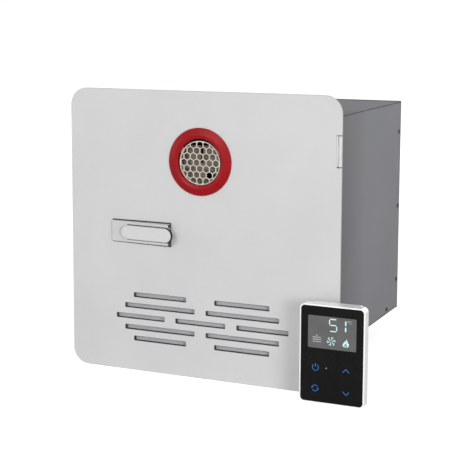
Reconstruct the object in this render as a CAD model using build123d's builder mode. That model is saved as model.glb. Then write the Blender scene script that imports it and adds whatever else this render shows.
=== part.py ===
"""Wall-recessed propane water heater: a steel case behind a hinged, louvred door,
with a round exhaust outlet, a lift-up door latch and a separate touch control panel.

Frame, in millimetres: X to the right and Z up as seen from the front, Y towards the back.
The origin is the centre of the screw pattern in the flange, on the flange's rear face,
so y = 0 is the wall that the heater is screwed to and the case lies behind it.
"""

from build123d import *
import os
from math import atan2, ceil, cos, radians, sin, sqrt

os.makedirs("parts", exist_ok=True)

# ---------------------------------------------------------------- driving sizes
# Door skin
door_w = 381.0
door_h = 377.0
door_r = 23.0
door_t = 1.5
door_pan = 3.2
door_edge_r = 1.2

# Mounting frame: a flange on the wall and a collar that goes into the case
door_overhang = 5.5
frame_t = 1.5
frame_r = 8.0
collar_depth = 25.0
collar_t = 1.2
wall_screw_inset = 9.0
wall_hole_r = 2.6

# Door gasket
gasket_t = 5.5
gasket_w = 10.0
gasket_gap = 3.0

# Case of sheet panels
case_inset = 35.5
case_h = 310.0
case_depth = 363.5
sheet = 1.0
slip = 0.1
lip = 12.0
rear_lip = 15.0
rear_lip_relief = 24.0
lip_gap = 2.0

# Panel screws
screw_r = 1.9
screw_hole_r = 2.0
screw_length = 7.0
screw_head_r = 2.8
screw_head_h = 1.1
screw_slot_w = 0.8
screw_slot_length = 4.8
screw_slot_h = 0.6
rear_screw_inset = 7.5
rear_screw_pitch = 111.0
edge_screw_inset = 6.0
edge_screw_from_rear = 55.0
edge_screw_pitch = 230.0

# Hinges
hinge_z = 120.0
barrel_r = 2.5
hinge_pin_r = 1.25
hinge_edge = 0.1
leaf_length = 38.0
leaf_t = 1.2
leaf_w = 17.4
knuckle_count = 3
knuckle_gap = 0.25
knuckle_web = 2.4
pin_press_gap = 0.02
pin_run_gap = 0.05
pin_head_r = 2.1
pin_head_h = 0.8
notch_w = 7.3
notch_h = 40.4
notch_r = 1.5

# Louvre slots in the door
slot_h = 6.8
slot_end_r = 1.4
slot_row_pitch = 14.8
slot_rows_z = -114.8
slot_middle_gap = 16.0
slot_long = 102.4
slot_short = 77.0
slot_short_gap = 40.5
slot_third = 71.7
slot_third_pitch = 87.4
slot_lip_depth = 4.0
slot_lip_t = 0.8

# Rain baffle behind the slots
baffle_gap = 5.0
baffle_t = 1.0
baffle_side_gap = 19.7
baffle_above = 6.0
baffle_frame_gap = 1.5
baffle_foot = 10.0
baffle_foot_inset = 3.0

# Exhaust outlet on the door
exhaust_z = 97.8
ring_outer_r = 44.0
ring_inner_r = 30.3
ring_proud = 5.0
ring_crest_r = 34.8
ring_crest_round = 2.0
ring_rim = 1.6
ring_inner_drop = 1.8
ring_edge_round = 0.6
ring_hole_r = 36.0
ring_sleeve_gap = 0.1
ring_lip_r = 39.0
ring_lip_t = 2.0
ring_seal_gap = 0.3
grille_r = 28.4
grille_rim = 0.9
grille_t = 1.2
grille_proud = 1.4
grille_drop = 1.2
grille_skirt = 3.0
grille_skirt_t = 0.8
grille_lugs = 3
grille_lug_w = 8.0
grille_lug_t = 1.2
grille_seat = 1.4
grille_seat_gap = 0.1
hex_pitch = 9.0
hex_web = 1.0
hex_outer_part = 2.2
hex_turn = 30.0

# Flue behind it
duct_r = 33.0
duct_t = 1.0
duct_front = -1.7
duct_hole_gap = 0.5
duct_seal_w = 4.0
duct_seal_h = 9.0
divider_t = 1.2
divider_front = 2.0
divider_top = 20.0
divider_slot_x = -2.2
divider_slot_w = 3.2
divider_slot_low = -3.0
divider_port_x = 9.5
divider_port_drop = 19.0
divider_port_r = 7.0

# Door latch
latch_inset = 62.9
latch_length = 85.4
latch_half_h = 13.8
latch_low = 3.0
latch_high = 8.1
latch_wall = 1.5
latch_corner_r = 1.6
latch_cavity = 50.0
latch_post_r = 3.2
latch_post_inset = 14.0
latch_post_z = 8.0
latch_stud_inset = 7.5
latch_screw_r = 1.2
latch_screw_length = 3.6
latch_screw_head_r = 2.4
latch_screw_head_h = 1.2
lever_start = 16.6
lever_length = 75.8
lever_half_h = 9.2
lever_t = 4.0
lever_gap = 1.2
lever_bevel = 1.5
lever_pin_at = 21.0
lever_pin_below = 2.6
lever_pin_r = 1.0
lever_pin_length = 18.0
boss_r = 2.4
boss_half = 3.9
boss_side_gap = 0.6
tail_relief = 2.7
arm_w = 7.0
arm_half = 3.4
window_ahead = 6.2
window_behind = 9.5
hook_reach = 44.0
hook_t = 4.0

# Striker that holds the hook
striker_front = 3.2
striker_t = 1.8
striker_gap = 0.3
striker_overlap = 5.0
striker_half = 9.0
striker_base = 14.0
striker_base_t = 1.2

# Inner cover behind the door
cover_y = 40.0
cover_gap = 1.5
cover_screw_inset = 10.5
cover_screw_z = 125.0
bracket_t = 1.5
bracket_w = 20.0
bracket_depth = 15.0
cover_slot_w = 96.0
cover_slot_h = 5.0
cover_slot_rows = 5
cover_slot_pitch_x = 120.0
cover_slot_pitch_z = 12.0
cover_slots_z = -112.0
sight_inset = 23.0
sight_z = -32.0
sight_r = 9.0
sight_t = 2.0
sight_ring_w = 3.0

# Power switch on the inner cover
switch_inset = 42.0
switch_z = -34.0
switch_w = 14.0
switch_h = 22.0
switch_depth = 15.0
switch_bezel = 2.0
switch_bezel_t = 1.4
rocker_w = 9.6
rocker_half = 8.2
rocker_gap = 0.45
rocker_pin_r = 1.0
rocker_pivot_back = 1.2
rocker_tilt = 8.0
rocker_tip = 7.8
rocker_lip = 7.5
rocker_rise = 0.5
rocker_root = 4.1

# Combustion tower
tower_side = 79.0
tower_y = 70.0
tower_depth = 160.0
tower_sheet = 1.0
tray_z = -94.0
burner_z = -64.0
fins_z = 18.0
hood_z = 56.0
hood_h = 84.0
tower_gap = 0.2
fin_t = 0.5
fin_edge_gap = 2.0
fin_pitch = 6.0
fin_side_gap = 8.0
tube_r = 7.0
tube_wall = 0.8
tube_pitch = 24.0
tube_passes = 6
tube_gap = 0.05
tube_stub = 6.0
pipe_bend = 16.0
burner_count = 8
burner_bar_w = 9.0
burner_side_gap = 1.0
burner_bar_h = 16.0
burner_port = 1.6
burner_port_pitch = 11.0
burner_port_depth = 4.0
burner_throat = 36.0
electrode_pitch = 10.4
electrode_up = 7.8
electrode_r = 2.6
electrode_front = 10.4
electrode_body = 20.8
electrode_tip_r = 0.8
electrode_tip = 15.6
electrode_collar_r = 4.2
electrode_collar_t = 0.8

# Gas train
valve_w = 48.0
valve_h = 40.0
valve_depth = 56.0
valve_y = 66.0
valve_gap = 0.3
valve_corner_r = 4.8
coil_r = 9.0
coil_h = 15.0
coil_pitch = 28.0
gas_boss_r = 10.0
gas_boss_t = 5.0
manifold_s = 12.0
manifold_r = 2.0
nozzle_r = 2.4
nozzle_length = 5.0
jet_r = 0.6
gas_pipe_r = 5.0
gas_thread_r = 7.9
gas_inset = 32.0

# Rear connections
port_z = -126.0
port_out = 22.0
port_nut_h = 5.0
port_nut_wall = 3.6
port_flange_w = 3.1
port_flange_t = 3.0
port_chamfer = 0.8
port_hole_gap = 0.3
water_thread_r = 10.4
water_bore_r = 7.0
inlet_inset = 24.0
water_pitch = 40.0
gland_from_gas = 62.0
gland_r = 8.0
gland_bore_r = 4.0
gland_lip = 2.5
gland_lip_t = 2.0
gland_edge_r = 1.0

# Flow sensor in the water inlet
sensor_r = 11.0
sensor_bore_r = 8.0
sensor_length = 34.0
sensor_end_t = 1.6
sensor_coil_w = 11.0
sensor_coil_h = 3.2
spider_w = 1.8
spider_t = 0.8
spider_gap = 0.8
rotor_r = 7.2
rotor_length = 12.0
rotor_hub_r = 1.8
rotor_pin_r = 0.9
rotor_vanes = 6
rotor_vane_t = 0.8

# Blower
blower_gap = 16.0
blower_z = -52.0
blower_r = 46.0
blower_depth = 36.0
blower_wall = 1.5
blower_eye_r = 24.0
blower_outlet_w = 30.0
impeller_r = 38.0
impeller_depth = 26.0
impeller_blades = 24
impeller_blade_w = 9.0
impeller_blade_turn = 35.0
impeller_t = 1.2
impeller_hub_r = 7.5
impeller_hub_h = 13.0
shaft_r = 2.5
shaft_hole_r = 5.0
shaft_in_motor = 17.0
motor_r = 22.0
motor_length = 34.0
motor_edge_r = 3.6

# Control box
control_w = 46.0
control_h = 110.0
control_depth = 120.0
control_wall = 1.6
control_y = 72.0
control_z = 14.0
control_corner_r = 4.6
board_t = 1.6
board_gap = 0.2
board_lift = 4.8
board_pillar_r = 3.2
board_pillar_y = 92.0
board_pillar_z = 84.0
block_y = 19.0
block_z = 13.0
block_h = 15.0
block_pitch_y = 38.0
block_pitch_z = 35.0
capacitor_r = 5.3

# Separate control panel, standing in front of the door's lower corner
panel_inset = -2.6
panel_ahead = 34.5
panel_w = 84.0
panel_h = 124.0
panel_shell = 13.0
panel_r = 6.5
panel_wall = 2.2
panel_rim = 1.8
panel_edge_r = 0.9
panel_pillar_r = 2.2
panel_pillar_x = 52.0
panel_pillar_z = 99.0
panel_board_gap = 1.1
glass_t = 1.5
glass_sunk = 1.7
glass_gap = 0.1
window_w = 62.0
window_h = 40.5
window_top = 12.0
window_r = 1.5
display_t = 1.4
back_t = 1.6
back_gap = 0.15
back_box_depth = 8.0
back_box_inset = 8.0
back_box_top_inset = 0.6
back_box_r = 5.0
bracket_plate_t = 2.0
bracket_plate_w = 70.0
bracket_plate_h = 112.0
bracket_plate_r = 5.0
bracket_hole_pitch = 60.0
bracket_hole_r = 2.2
socket_w = 9.0
socket_h = 6.0
socket_wall = 0.8
socket_drop = 31.0
socket_room = 4.0

# ---------------------------------------------------------------- worked-out places
frame_w = door_w - 2 * door_overhang
frame_h = door_h - 2 * door_overhang
case_w = door_w - 2 * case_inset
flange_front = -frame_t
door_rear = flange_front - gasket_t
door_front = door_rear - door_t
inner_w = case_w - 2 * sheet
inner_h = case_h - 2 * sheet
collar_w = inner_w - 2 * slip
collar_h = inner_h - 2 * slip
wall_pitch_x = frame_w - 2 * wall_screw_inset
wall_pitch_z = frame_h - 2 * wall_screw_inset
hinge_x = door_w / 2 - barrel_r - hinge_edge
hinge_y = door_front + barrel_r
leaf_start = hinge_x - leaf_w
latch_x = -door_w / 2 + latch_inset
baffle_front = door_rear + baffle_gap
baffle_w = collar_w - 2 * collar_t - 2 * baffle_side_gap
baffle_foot_pitch = (baffle_w - baffle_foot) / 2 - baffle_foot_inset
tower_w = inner_w - 2 * tower_side
tower_back = tower_y + tower_depth
sight_x = -(tower_w / 2 - sight_inset)
switch_x = inner_w / 2 - switch_inset
inlet_x = inner_w / 2 - inlet_inset
outlet_x = inlet_x - water_pitch
gas_x = -(inner_w / 2 - gas_inset)
gland_x = gas_x + gland_from_gas
fin_count = int((tower_w - 2 * tower_sheet - 2 * fin_side_gap) / fin_pitch) + 1
blower_y = tower_back + blower_gap
panel_x = door_w / 2 - panel_inset
floor_z = -door_h / 2


def front(y):
    """Plane at depth y as seen from the front. It extrudes towards -Y, or by a negative amount to +Y."""
    return Plane.XZ.offset(-y)


# ---------------------------------------------------------------- mounting frame
with BuildPart() as mounting_frame:
    with BuildSketch(front(0)):
        RectangleRounded(frame_w, frame_h, frame_r)
        Rectangle(collar_w - 2 * collar_t, collar_h - 2 * collar_t, mode=Mode.SUBTRACT)
        with GridLocations(wall_pitch_x, wall_pitch_z, 2, 2):
            Circle(wall_hole_r, mode=Mode.SUBTRACT)
        with Locations((0, wall_pitch_z / 2), (0, -wall_pitch_z / 2)):
            Circle(wall_hole_r, mode=Mode.SUBTRACT)
        with Locations((wall_pitch_x / 2, 0), (-wall_pitch_x / 2, 0)):
            Circle(wall_hole_r, mode=Mode.SUBTRACT)
    extrude(amount=frame_t)
    with BuildSketch(front(collar_depth)):
        Rectangle(collar_w, collar_h)
        Rectangle(collar_w - 2 * collar_t, collar_h - 2 * collar_t, mode=Mode.SUBTRACT)
    extrude(amount=collar_depth)
mounting_frame.part.label = "mounting_frame"
export_step(mounting_frame.part, "parts/mounting_frame.step")

with BuildPart() as door_gasket:
    gasket_x = case_w / 2 + gasket_gap + gasket_w / 2
    gasket_z = case_h / 2 + gasket_gap + gasket_w / 2
    with BuildSketch(front(flange_front)):
        with Locations((0, gasket_z), (0, -gasket_z)):
            Rectangle(2 * gasket_x + gasket_w, gasket_w)
    extrude(amount=gasket_t)
    with BuildSketch(front(flange_front)):
        with Locations((gasket_x, 0), (-gasket_x, 0)):
            Rectangle(gasket_w, 2 * gasket_z - gasket_w - 2 * slip)
    extrude(amount=gasket_t)
door_gasket.part.label = "door_gasket"
export_step(door_gasket.part, "parts/door_gasket.step")

# ---------------------------------------------------------------- case panels
rear_screw_y = case_depth - rear_screw_inset
edge_screw_ys = [case_depth - edge_screw_from_rear, case_depth - edge_screw_from_rear - edge_screw_pitch]
edge_screw_z = inner_h / 2 - edge_screw_inset
side_screws = [(rear_screw_y, z) for z in (-rear_screw_pitch, 0, rear_screw_pitch)]
edge_screws = [(y, -edge_screw_z) for y in edge_screw_ys] + [(min(edge_screw_ys), edge_screw_z)]
side_screws += edge_screws
low_screws = [(x, rear_screw_y) for x in (-rear_screw_pitch, 0, rear_screw_pitch)]


def side_panel(side):
    """One side of the case, with holes for the screws into the lips behind it."""
    with BuildPart() as panel:
        with BuildSketch(Plane.YZ.offset(side * inner_w / 2)):
            with Locations((case_depth / 2, 0)):
                Rectangle(case_depth, case_h)
            with Locations(*side_screws):
                Circle(screw_hole_r, mode=Mode.SUBTRACT)
        extrude(amount=side * sheet)
    return panel


side_panel_left = side_panel(-1)
side_panel_left.part.label = "side_panel_left"
export_step(side_panel_left.part, "parts/side_panel_left.step")

side_panel_right = side_panel(1)
side_panel_right.part.label = "side_panel_right"
export_step(side_panel_right.part, "parts/side_panel_right.step")


def level_panel(side, screw_places):
    """The top or bottom of the case: a plate between the sides, with a lip along each side."""
    lip_start = collar_depth + lip_gap
    lip_end = case_depth - rear_lip - lip_gap
    with BuildPart() as panel:
        with BuildSketch(Plane.XY.offset(side * inner_h / 2)):
            with Locations((0, case_depth / 2)):
                Rectangle(inner_w, case_depth)
            if screw_places:
                with Locations(*screw_places):
                    Circle(screw_hole_r, mode=Mode.SUBTRACT)
        extrude(amount=side * sheet)
        with BuildSketch(Plane.XY.offset(side * inner_h / 2)):
            with Locations(*[(s * (inner_w - sheet) / 2, (lip_start + lip_end) / 2) for s in (-1, 1)]):
                Rectangle(sheet, lip_end - lip_start)
        extrude(amount=-side * lip)
        with BuildSketch(Plane.YZ):
            with Locations(*[place for place in edge_screws if side * place[1] > 0]):
                Circle(screw_hole_r)
        extrude(amount=inner_w / 2, both=True, mode=Mode.SUBTRACT)
    return panel


top_panel = level_panel(1, [])
top_panel.part.label = "top_panel"
export_step(top_panel.part, "parts/top_panel.step")

bottom_panel = level_panel(-1, low_screws)
bottom_panel.part.label = "bottom_panel"
export_step(bottom_panel.part, "parts/bottom_panel.step")

ports = [(inlet_x, water_thread_r), (outlet_x, water_thread_r), (gas_x, gas_thread_r), (gland_x, gland_r)]

with BuildPart() as rear_panel:
    rear_in = case_depth - sheet
    with BuildSketch(front(rear_in)):
        Rectangle(inner_w, inner_h)
        for port_x, port_r in ports:
            with Locations((port_x, port_z)):
                Circle(port_r + port_hole_gap, mode=Mode.SUBTRACT)
    extrude(amount=-sheet)
    with BuildSketch(front(rear_in)):
        Rectangle(inner_w, inner_h - 2 * rear_lip_relief)
        Rectangle(inner_w - 2 * sheet, inner_h, mode=Mode.SUBTRACT)
        with Locations((0, -(inner_h - sheet) / 2)):
            Rectangle(inner_w - 2 * rear_lip_relief, sheet)
    extrude(amount=rear_lip - sheet)
    with BuildSketch(Plane.YZ):
        with Locations(*[place for place in side_screws if place[0] == rear_screw_y]):
            Circle(screw_hole_r)
    extrude(amount=inner_w / 2, both=True, mode=Mode.SUBTRACT)
    with BuildSketch(Plane.XY.offset(-inner_h / 2)):
        with Locations(*low_screws):
            Circle(screw_hole_r)
    extrude(amount=sheet, mode=Mode.SUBTRACT)
rear_panel.part.label = "rear_panel"
export_step(rear_panel.part, "parts/rear_panel.step")

# ---------------------------------------------------------------- inner cover
cover_w = inner_w - 2 * cover_gap
cover_h = inner_h - 2 * cover_gap
cover_back = cover_y + sheet
cover_screw_x = cover_w / 2 - cover_screw_inset
cover_screws = [(x, z) for x in (-cover_screw_x, cover_screw_x) for z in (-cover_screw_z, cover_screw_z)]

with BuildPart() as inner_cover:
    with BuildSketch(front(cover_back)):
        Rectangle(cover_w, cover_h)
        with Locations((0, exhaust_z)):
            Circle(duct_r + duct_hole_gap, mode=Mode.SUBTRACT)
        with Locations(*cover_screws):
            Circle(screw_hole_r, mode=Mode.SUBTRACT)
        with Locations((0, cover_slots_z)):
            with GridLocations(cover_slot_pitch_x, cover_slot_pitch_z, 2, cover_slot_rows):
                SlotOverall(cover_slot_w, cover_slot_h, mode=Mode.SUBTRACT)
        with Locations((sight_x, sight_z)):
            Circle(sight_r, mode=Mode.SUBTRACT)
        with Locations((switch_x, switch_z)):
            Rectangle(switch_w + 2 * slip, switch_h + 2 * slip, mode=Mode.SUBTRACT)
    extrude(amount=sheet)
inner_cover.part.label = "inner_cover"
export_step(inner_cover.part, "parts/inner_cover.step")

with BuildPart() as cover_brackets:
    bracket_x = inner_w / 2
    for side in (-1, 1):
        for z in (-cover_screw_z, cover_screw_z):
            with BuildSketch(Plane.XY.offset(z - bracket_w / 2)):
                with Locations((side * (bracket_x - bracket_w / 2), cover_back + bracket_t / 2)):
                    Rectangle(bracket_w, bracket_t)
                with Locations((side * (bracket_x - bracket_t / 2), cover_back + bracket_depth / 2)):
                    Rectangle(bracket_t, bracket_depth)
            extrude(amount=bracket_w)
    with BuildSketch(front(cover_back + bracket_t)):
        with Locations(*cover_screws):
            Circle(screw_hole_r)
    extrude(amount=bracket_t, mode=Mode.SUBTRACT)
cover_brackets.part.label = "cover_brackets"
export_step(cover_brackets.part, "parts/cover_brackets.step")

with BuildPart() as panel_screws:
    right_seat = Plane.YZ.offset(case_w / 2)
    left_seat = Plane(origin=(-case_w / 2, 0, 0), x_dir=(0, 1, 0), z_dir=(-1, 0, 0))
    low_seat = Plane(origin=(0, 0, -case_h / 2), x_dir=(1, 0, 0), z_dir=(0, 0, -1))
    screw_seats = [
        (right_seat, side_screws),
        (left_seat, [(y, -z) for y, z in side_screws]),
        (low_seat, [(x, -y) for x, y in low_screws]),
        (front(cover_y), cover_screws),
    ]
    for seat, places in screw_seats:
        with BuildSketch(seat):
            with Locations(*places):
                Circle(screw_head_r)
        extrude(amount=screw_head_h)
        with BuildSketch(seat):
            with Locations(*places):
                Circle(screw_r)
        extrude(amount=-screw_length)
        with BuildSketch(seat.offset(screw_head_h)):
            with Locations(*places):
                Rectangle(screw_slot_w, screw_slot_length)
        extrude(amount=-screw_slot_h, mode=Mode.SUBTRACT)
panel_screws.part.label = "panel_screws"
export_step(panel_screws.part, "parts/panel_screws.step")

with BuildPart() as sight_glass:
    with BuildSketch(front(cover_y)):
        with Locations((sight_x, sight_z)):
            Circle(sight_r + sight_ring_w)
    extrude(amount=sight_t)
sight_glass.part.label = "sight_glass"
export_step(sight_glass.part, "parts/sight_glass.step")

# ---------------------------------------------------------------- door
row_long = (slot_middle_gap + slot_long) / 2
row_short = (slot_short_gap + slot_short) / 2
slot_rows = [
    (2, slot_short, [-row_short, row_short]),
    (1, slot_long, [-row_long, row_long]),
    (0, slot_third, [-slot_third_pitch, 0, slot_third_pitch]),
    (-1, slot_long, [-row_long, row_long]),
    (-2, slot_short, [-row_short, row_short]),
]

slope = atan2(latch_high - latch_low, latch_length)


def on_latch(along, above):
    """Point in XY from the distance along the latch's slope and the height above it."""
    x = latch_x + along * cos(slope) - above * sin(slope)
    y = door_front - latch_low - along * sin(slope) - above * cos(slope)
    return (x, y)


lever_pin = on_latch(lever_pin_at, lever_gap - lever_pin_below)
window_x = lever_pin[0] + (window_behind - window_ahead) / 2
lever_window_w = window_ahead + window_behind
lever_window_half = boss_half + boss_side_gap
latch_end = latch_x + latch_length
latch_screws_at = [
    (latch_x + latch_stud_inset, 0),
    (latch_end - latch_post_inset, latch_post_z),
    (latch_end - latch_post_inset, -latch_post_z),
]

with BuildPart() as door_panel:
    # Pan with a return all round, which stops short of the flange
    with BuildSketch(front(door_front + door_pan)):
        RectangleRounded(door_w, door_h, door_r)
    extrude(amount=door_pan)
    fillet(door_panel.faces().sort_by(Axis.Y)[0].outer_wire().edges(), door_edge_r)
    with BuildSketch(front(door_front + door_pan)):
        RectangleRounded(door_w - 2 * door_t, door_h - 2 * door_t, door_r - door_t)
    extrude(amount=door_pan - door_t, mode=Mode.SUBTRACT)
    # Slots with turned-in lips
    for grow, slot_mode in ((slot_lip_t, Mode.ADD), (0, Mode.SUBTRACT)):
        with BuildSketch(front(door_rear + slot_lip_depth)):
            for row, length, places in slot_rows:
                with Locations(*[(x, slot_rows_z + row * slot_row_pitch) for x in places]):
                    RectangleRounded(length + 2 * grow, slot_h + 2 * grow, slot_end_r + grow)
        extrude(amount=slot_lip_depth + (0 if grow else door_t), mode=slot_mode)
    with BuildSketch(front(door_rear)):
        with Locations((0, exhaust_z)):
            Circle(ring_hole_r)
        with Locations((window_x, 0)):
            Rectangle(lever_window_w, 2 * lever_window_half)
        with Locations(*latch_screws_at):
            Circle(latch_screw_r + slip)
    extrude(amount=door_t, mode=Mode.SUBTRACT)
    with BuildSketch(front(door_front + door_pan)):
        with Locations((door_w / 2, hinge_z), (door_w / 2, -hinge_z)):
            RectangleRounded(2 * notch_w, notch_h, notch_r)
    extrude(amount=door_pan, mode=Mode.SUBTRACT)
door_panel.part.label = "door_panel"
export_step(door_panel.part, "parts/door_panel.step")

with BuildPart() as rain_baffle:
    baffle_low = -(collar_h / 2 - collar_t - baffle_frame_gap)
    baffle_high = slot_rows_z + 2 * slot_row_pitch + slot_h / 2 + baffle_above
    with BuildSketch(front(baffle_front + baffle_t)):
        with Locations((0, (baffle_low + baffle_high) / 2)):
            Rectangle(baffle_w, baffle_high - baffle_low)
    extrude(amount=baffle_t)
    with BuildSketch(front(baffle_front)):
        for z in (baffle_low + baffle_t / 2, baffle_high - baffle_t / 2):
            with Locations(*[(x * baffle_foot_pitch, z) for x in (-1, 0, 1)]):
                Rectangle(baffle_foot, baffle_t)
    extrude(amount=baffle_gap)
rain_baffle.part.label = "rain_baffle"
export_step(rain_baffle.part, "parts/rain_baffle.step")

# ---------------------------------------------------------------- exhaust outlet on the door
exhaust_axis = Axis((0, 0, exhaust_z), (0, 1, 0))
grille_front = door_front - grille_proud
grille_end = grille_front + grille_t + grille_skirt
grille_z = exhaust_z - grille_drop
sleeve_r = ring_hole_r - ring_sleeve_gap
sleeve_end = duct_front - ring_seal_gap

with BuildPart() as exhaust_ring:
    with BuildSketch(Plane.XY.offset(exhaust_z)):
        with BuildLine():
            Polyline(
                (ring_inner_r, door_front - ring_proud + ring_inner_drop),
                (ring_crest_r, door_front - ring_proud),
                (ring_outer_r, door_front - ring_rim),
                (ring_outer_r, door_front),
                (sleeve_r, door_front),
                (sleeve_r, door_rear),
                (ring_lip_r, door_rear),
                (ring_lip_r, door_rear + ring_lip_t),
                (sleeve_r, door_rear + ring_lip_t),
                (sleeve_r, sleeve_end),
                (ring_inner_r, sleeve_end),
                close=True,
            )
        make_face()
        levels = vertices().group_by(Axis.Y)
        fillet([*levels[1], *levels[2]], ring_edge_round)
        fillet(vertices().group_by(Axis.Y)[0], ring_crest_round)
        with Locations((ring_inner_r + grille_seat / 2, grille_end - grille_lug_t / 2)):
            Rectangle(grille_seat, grille_lug_t + 2 * grille_seat_gap, mode=Mode.SUBTRACT)
    revolve(axis=exhaust_axis)
exhaust_ring.part.label = "exhaust_ring"
export_step(exhaust_ring.part, "parts/exhaust_ring.step")

with BuildPart() as exhaust_grille:
    # Cap with a skirt, and lugs at the skirt's end that seat in the ring's groove
    with BuildSketch(front(grille_front + grille_t)):
        with Locations((0, grille_z)):
            Circle(grille_r)
    extrude(amount=grille_t)
    with BuildSketch(front(grille_end)):
        with Locations((0, grille_z)):
            Circle(grille_r)
            Circle(grille_r - grille_skirt_t, mode=Mode.SUBTRACT)
    extrude(amount=grille_skirt)
    with BuildSketch(front(grille_end)):
        with Locations((0, grille_z)):
            with PolarLocations(ring_inner_r, grille_lugs, start_angle=hex_turn):
                Rectangle(2 * (ring_inner_r - grille_r + grille_skirt_t), grille_lug_w)
            Circle(grille_r - grille_skirt_t, mode=Mode.SUBTRACT)
        with Locations((0, exhaust_z)):
            Circle(ring_inner_r + grille_seat - grille_seat_gap, mode=Mode.INTERSECT)
    extrude(amount=grille_lug_t)
    hex_open_r = grille_r - grille_rim
    hex_rows = ceil(2 * grille_r / (hex_pitch * sqrt(3)))
    hex_places = [
        (hex_pitch * (i + ((j + 1) % 2) / 2), grille_z + hex_pitch * j * sqrt(3) / 2)
        for j in range(-hex_rows, hex_rows + 1)
        for i in range(-hex_rows, hex_rows + 1)
    ]
    hex_reach = hex_open_r + hex_outer_part
    with BuildSketch(front(grille_front + grille_t)):
        near = [p for p in hex_places if sqrt(p[0] ** 2 + (p[1] - grille_z) ** 2) < hex_reach]
        with Locations(*near):
            RegularPolygon((hex_pitch - hex_web) / 2, 6, major_radius=False, rotation=hex_turn)
        with Locations((0, grille_z)):
            Circle(hex_open_r, mode=Mode.INTERSECT)
    extrude(amount=grille_t, mode=Mode.SUBTRACT)
exhaust_grille.part.label = "exhaust_grille"
export_step(exhaust_grille.part, "parts/exhaust_grille.step")

# ---------------------------------------------------------------- hinges
knuckle = (leaf_length - (knuckle_count - 1) * knuckle_gap) / knuckle_count

with BuildPart() as frame_hinge_leaves:
    for centre in (-hinge_z, hinge_z):
        low = centre - leaf_length / 2
        with BuildSketch(Plane.XY.offset(low)):
            with Locations((leaf_start + (leaf_w + leaf_t) / 2, flange_front - leaf_t / 2)):
                Rectangle(leaf_w + leaf_t, leaf_t)
        extrude(amount=leaf_length)
        for start in (low, low + leaf_length - knuckle):
            with BuildSketch(Plane.XY.offset(start)):
                with Locations((hinge_x, hinge_y)):
                    Circle(barrel_r)
                with Locations((hinge_x, (hinge_y + flange_front) / 2)):
                    Rectangle(knuckle_web, flange_front - hinge_y)
                with Locations((hinge_x, hinge_y)):
                    Circle(hinge_pin_r + pin_press_gap, mode=Mode.SUBTRACT)
            extrude(amount=knuckle)
frame_hinge_leaves.part.label = "frame_hinge_leaves"
export_step(frame_hinge_leaves.part, "parts/frame_hinge_leaves.step")

with BuildPart() as door_hinge_leaves:
    leaf_edge = hinge_x - barrel_r - knuckle_gap
    for centre in (-hinge_z, hinge_z):
        with BuildSketch(Plane.XY.offset(centre - leaf_length / 2)):
            with Locations(((leaf_start + leaf_edge) / 2, door_rear + leaf_t / 2)):
                Rectangle(leaf_edge - leaf_start, leaf_t)
        extrude(amount=leaf_length)
        with BuildSketch(Plane.XY.offset(centre - knuckle / 2)):
            with Locations((hinge_x, hinge_y)):
                Circle(barrel_r)
            with Locations(((leaf_edge + hinge_x) / 2, door_rear + leaf_t / 2)):
                Rectangle(hinge_x - leaf_edge, leaf_t)
            with Locations((hinge_x, hinge_y)):
                Circle(hinge_pin_r + pin_run_gap, mode=Mode.SUBTRACT)
        extrude(amount=knuckle)
door_hinge_leaves.part.label = "door_hinge_leaves"
export_step(door_hinge_leaves.part, "parts/door_hinge_leaves.step")

with BuildPart() as hinge_pins:
    for centre in (-hinge_z, hinge_z):
        low = centre - leaf_length / 2
        with BuildSketch(Plane.XY.offset(low)):
            with Locations((hinge_x, hinge_y)):
                Circle(hinge_pin_r)
        extrude(amount=leaf_length)
        for start in (low - pin_head_h, low + leaf_length):
            with BuildSketch(Plane.XY.offset(start)):
                with Locations((hinge_x, hinge_y)):
                    Circle(pin_head_r)
            extrude(amount=pin_head_h)
hinge_pins.part.label = "hinge_pins"
export_step(hinge_pins.part, "parts/hinge_pins.step")

# ---------------------------------------------------------------- latch
with BuildPart() as latch_base:
    with BuildSketch(Plane.XY):
        with BuildLine():
            Polyline(
                (latch_x, door_front),
                (latch_end, door_front),
                (latch_end, door_front - latch_high),
                (latch_x, door_front - latch_low),
                close=True,
            )
        make_face()
    extrude(amount=latch_half_h, both=True)
    fillet(latch_base.edges().filter_by(Axis.Y), latch_corner_r)
    # Hollow that leaves the high end open
    with BuildSketch(Plane.XY):
        with BuildLine():
            Polyline(
                (latch_end - latch_cavity, door_front),
                (latch_end, door_front),
                on_latch(latch_length / cos(slope), -latch_wall),
                on_latch((latch_length - latch_cavity) / cos(slope), -latch_wall),
                close=True,
            )
        make_face()
    extrude(amount=latch_half_h - latch_wall, both=True, mode=Mode.SUBTRACT)
    # Posts that the screws from behind the door go into
    with BuildSketch(front(door_front)):
        with Locations(*latch_screws_at[1:]):
            Circle(latch_post_r)
    extrude(amount=latch_high - latch_wall)
    with BuildSketch(front(door_front)):
        with Locations(*latch_screws_at):
            Circle(latch_screw_r)
    extrude(amount=latch_screw_length - door_t, mode=Mode.SUBTRACT)
    # Pocket for the lever's boss and arm, and the hole for its pin
    with BuildSketch(front(door_front)):
        with Locations((window_x, 0)):
            Rectangle(lever_window_w, 2 * lever_window_half)
    extrude(amount=latch_high, mode=Mode.SUBTRACT)
    with BuildSketch(Plane.XY):
        with Locations(lever_pin):
            Circle(lever_pin_r + pin_press_gap)
    extrude(amount=lever_pin_length / 2, both=True, mode=Mode.SUBTRACT)
latch_base.part.label = "latch_base"
export_step(latch_base.part, "parts/latch_base.step")

lever_face = on_latch(lever_start + lever_length / 2, lever_gap)
lever_plane = Plane(
    origin=(lever_face[0], lever_face[1], 0),
    x_dir=(cos(slope), -sin(slope), 0),
    z_dir=(-sin(slope), -cos(slope), 0),
)
hook_front = striker_front + striker_t + striker_gap
hook_tip = lever_pin[0] - hook_reach

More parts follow.
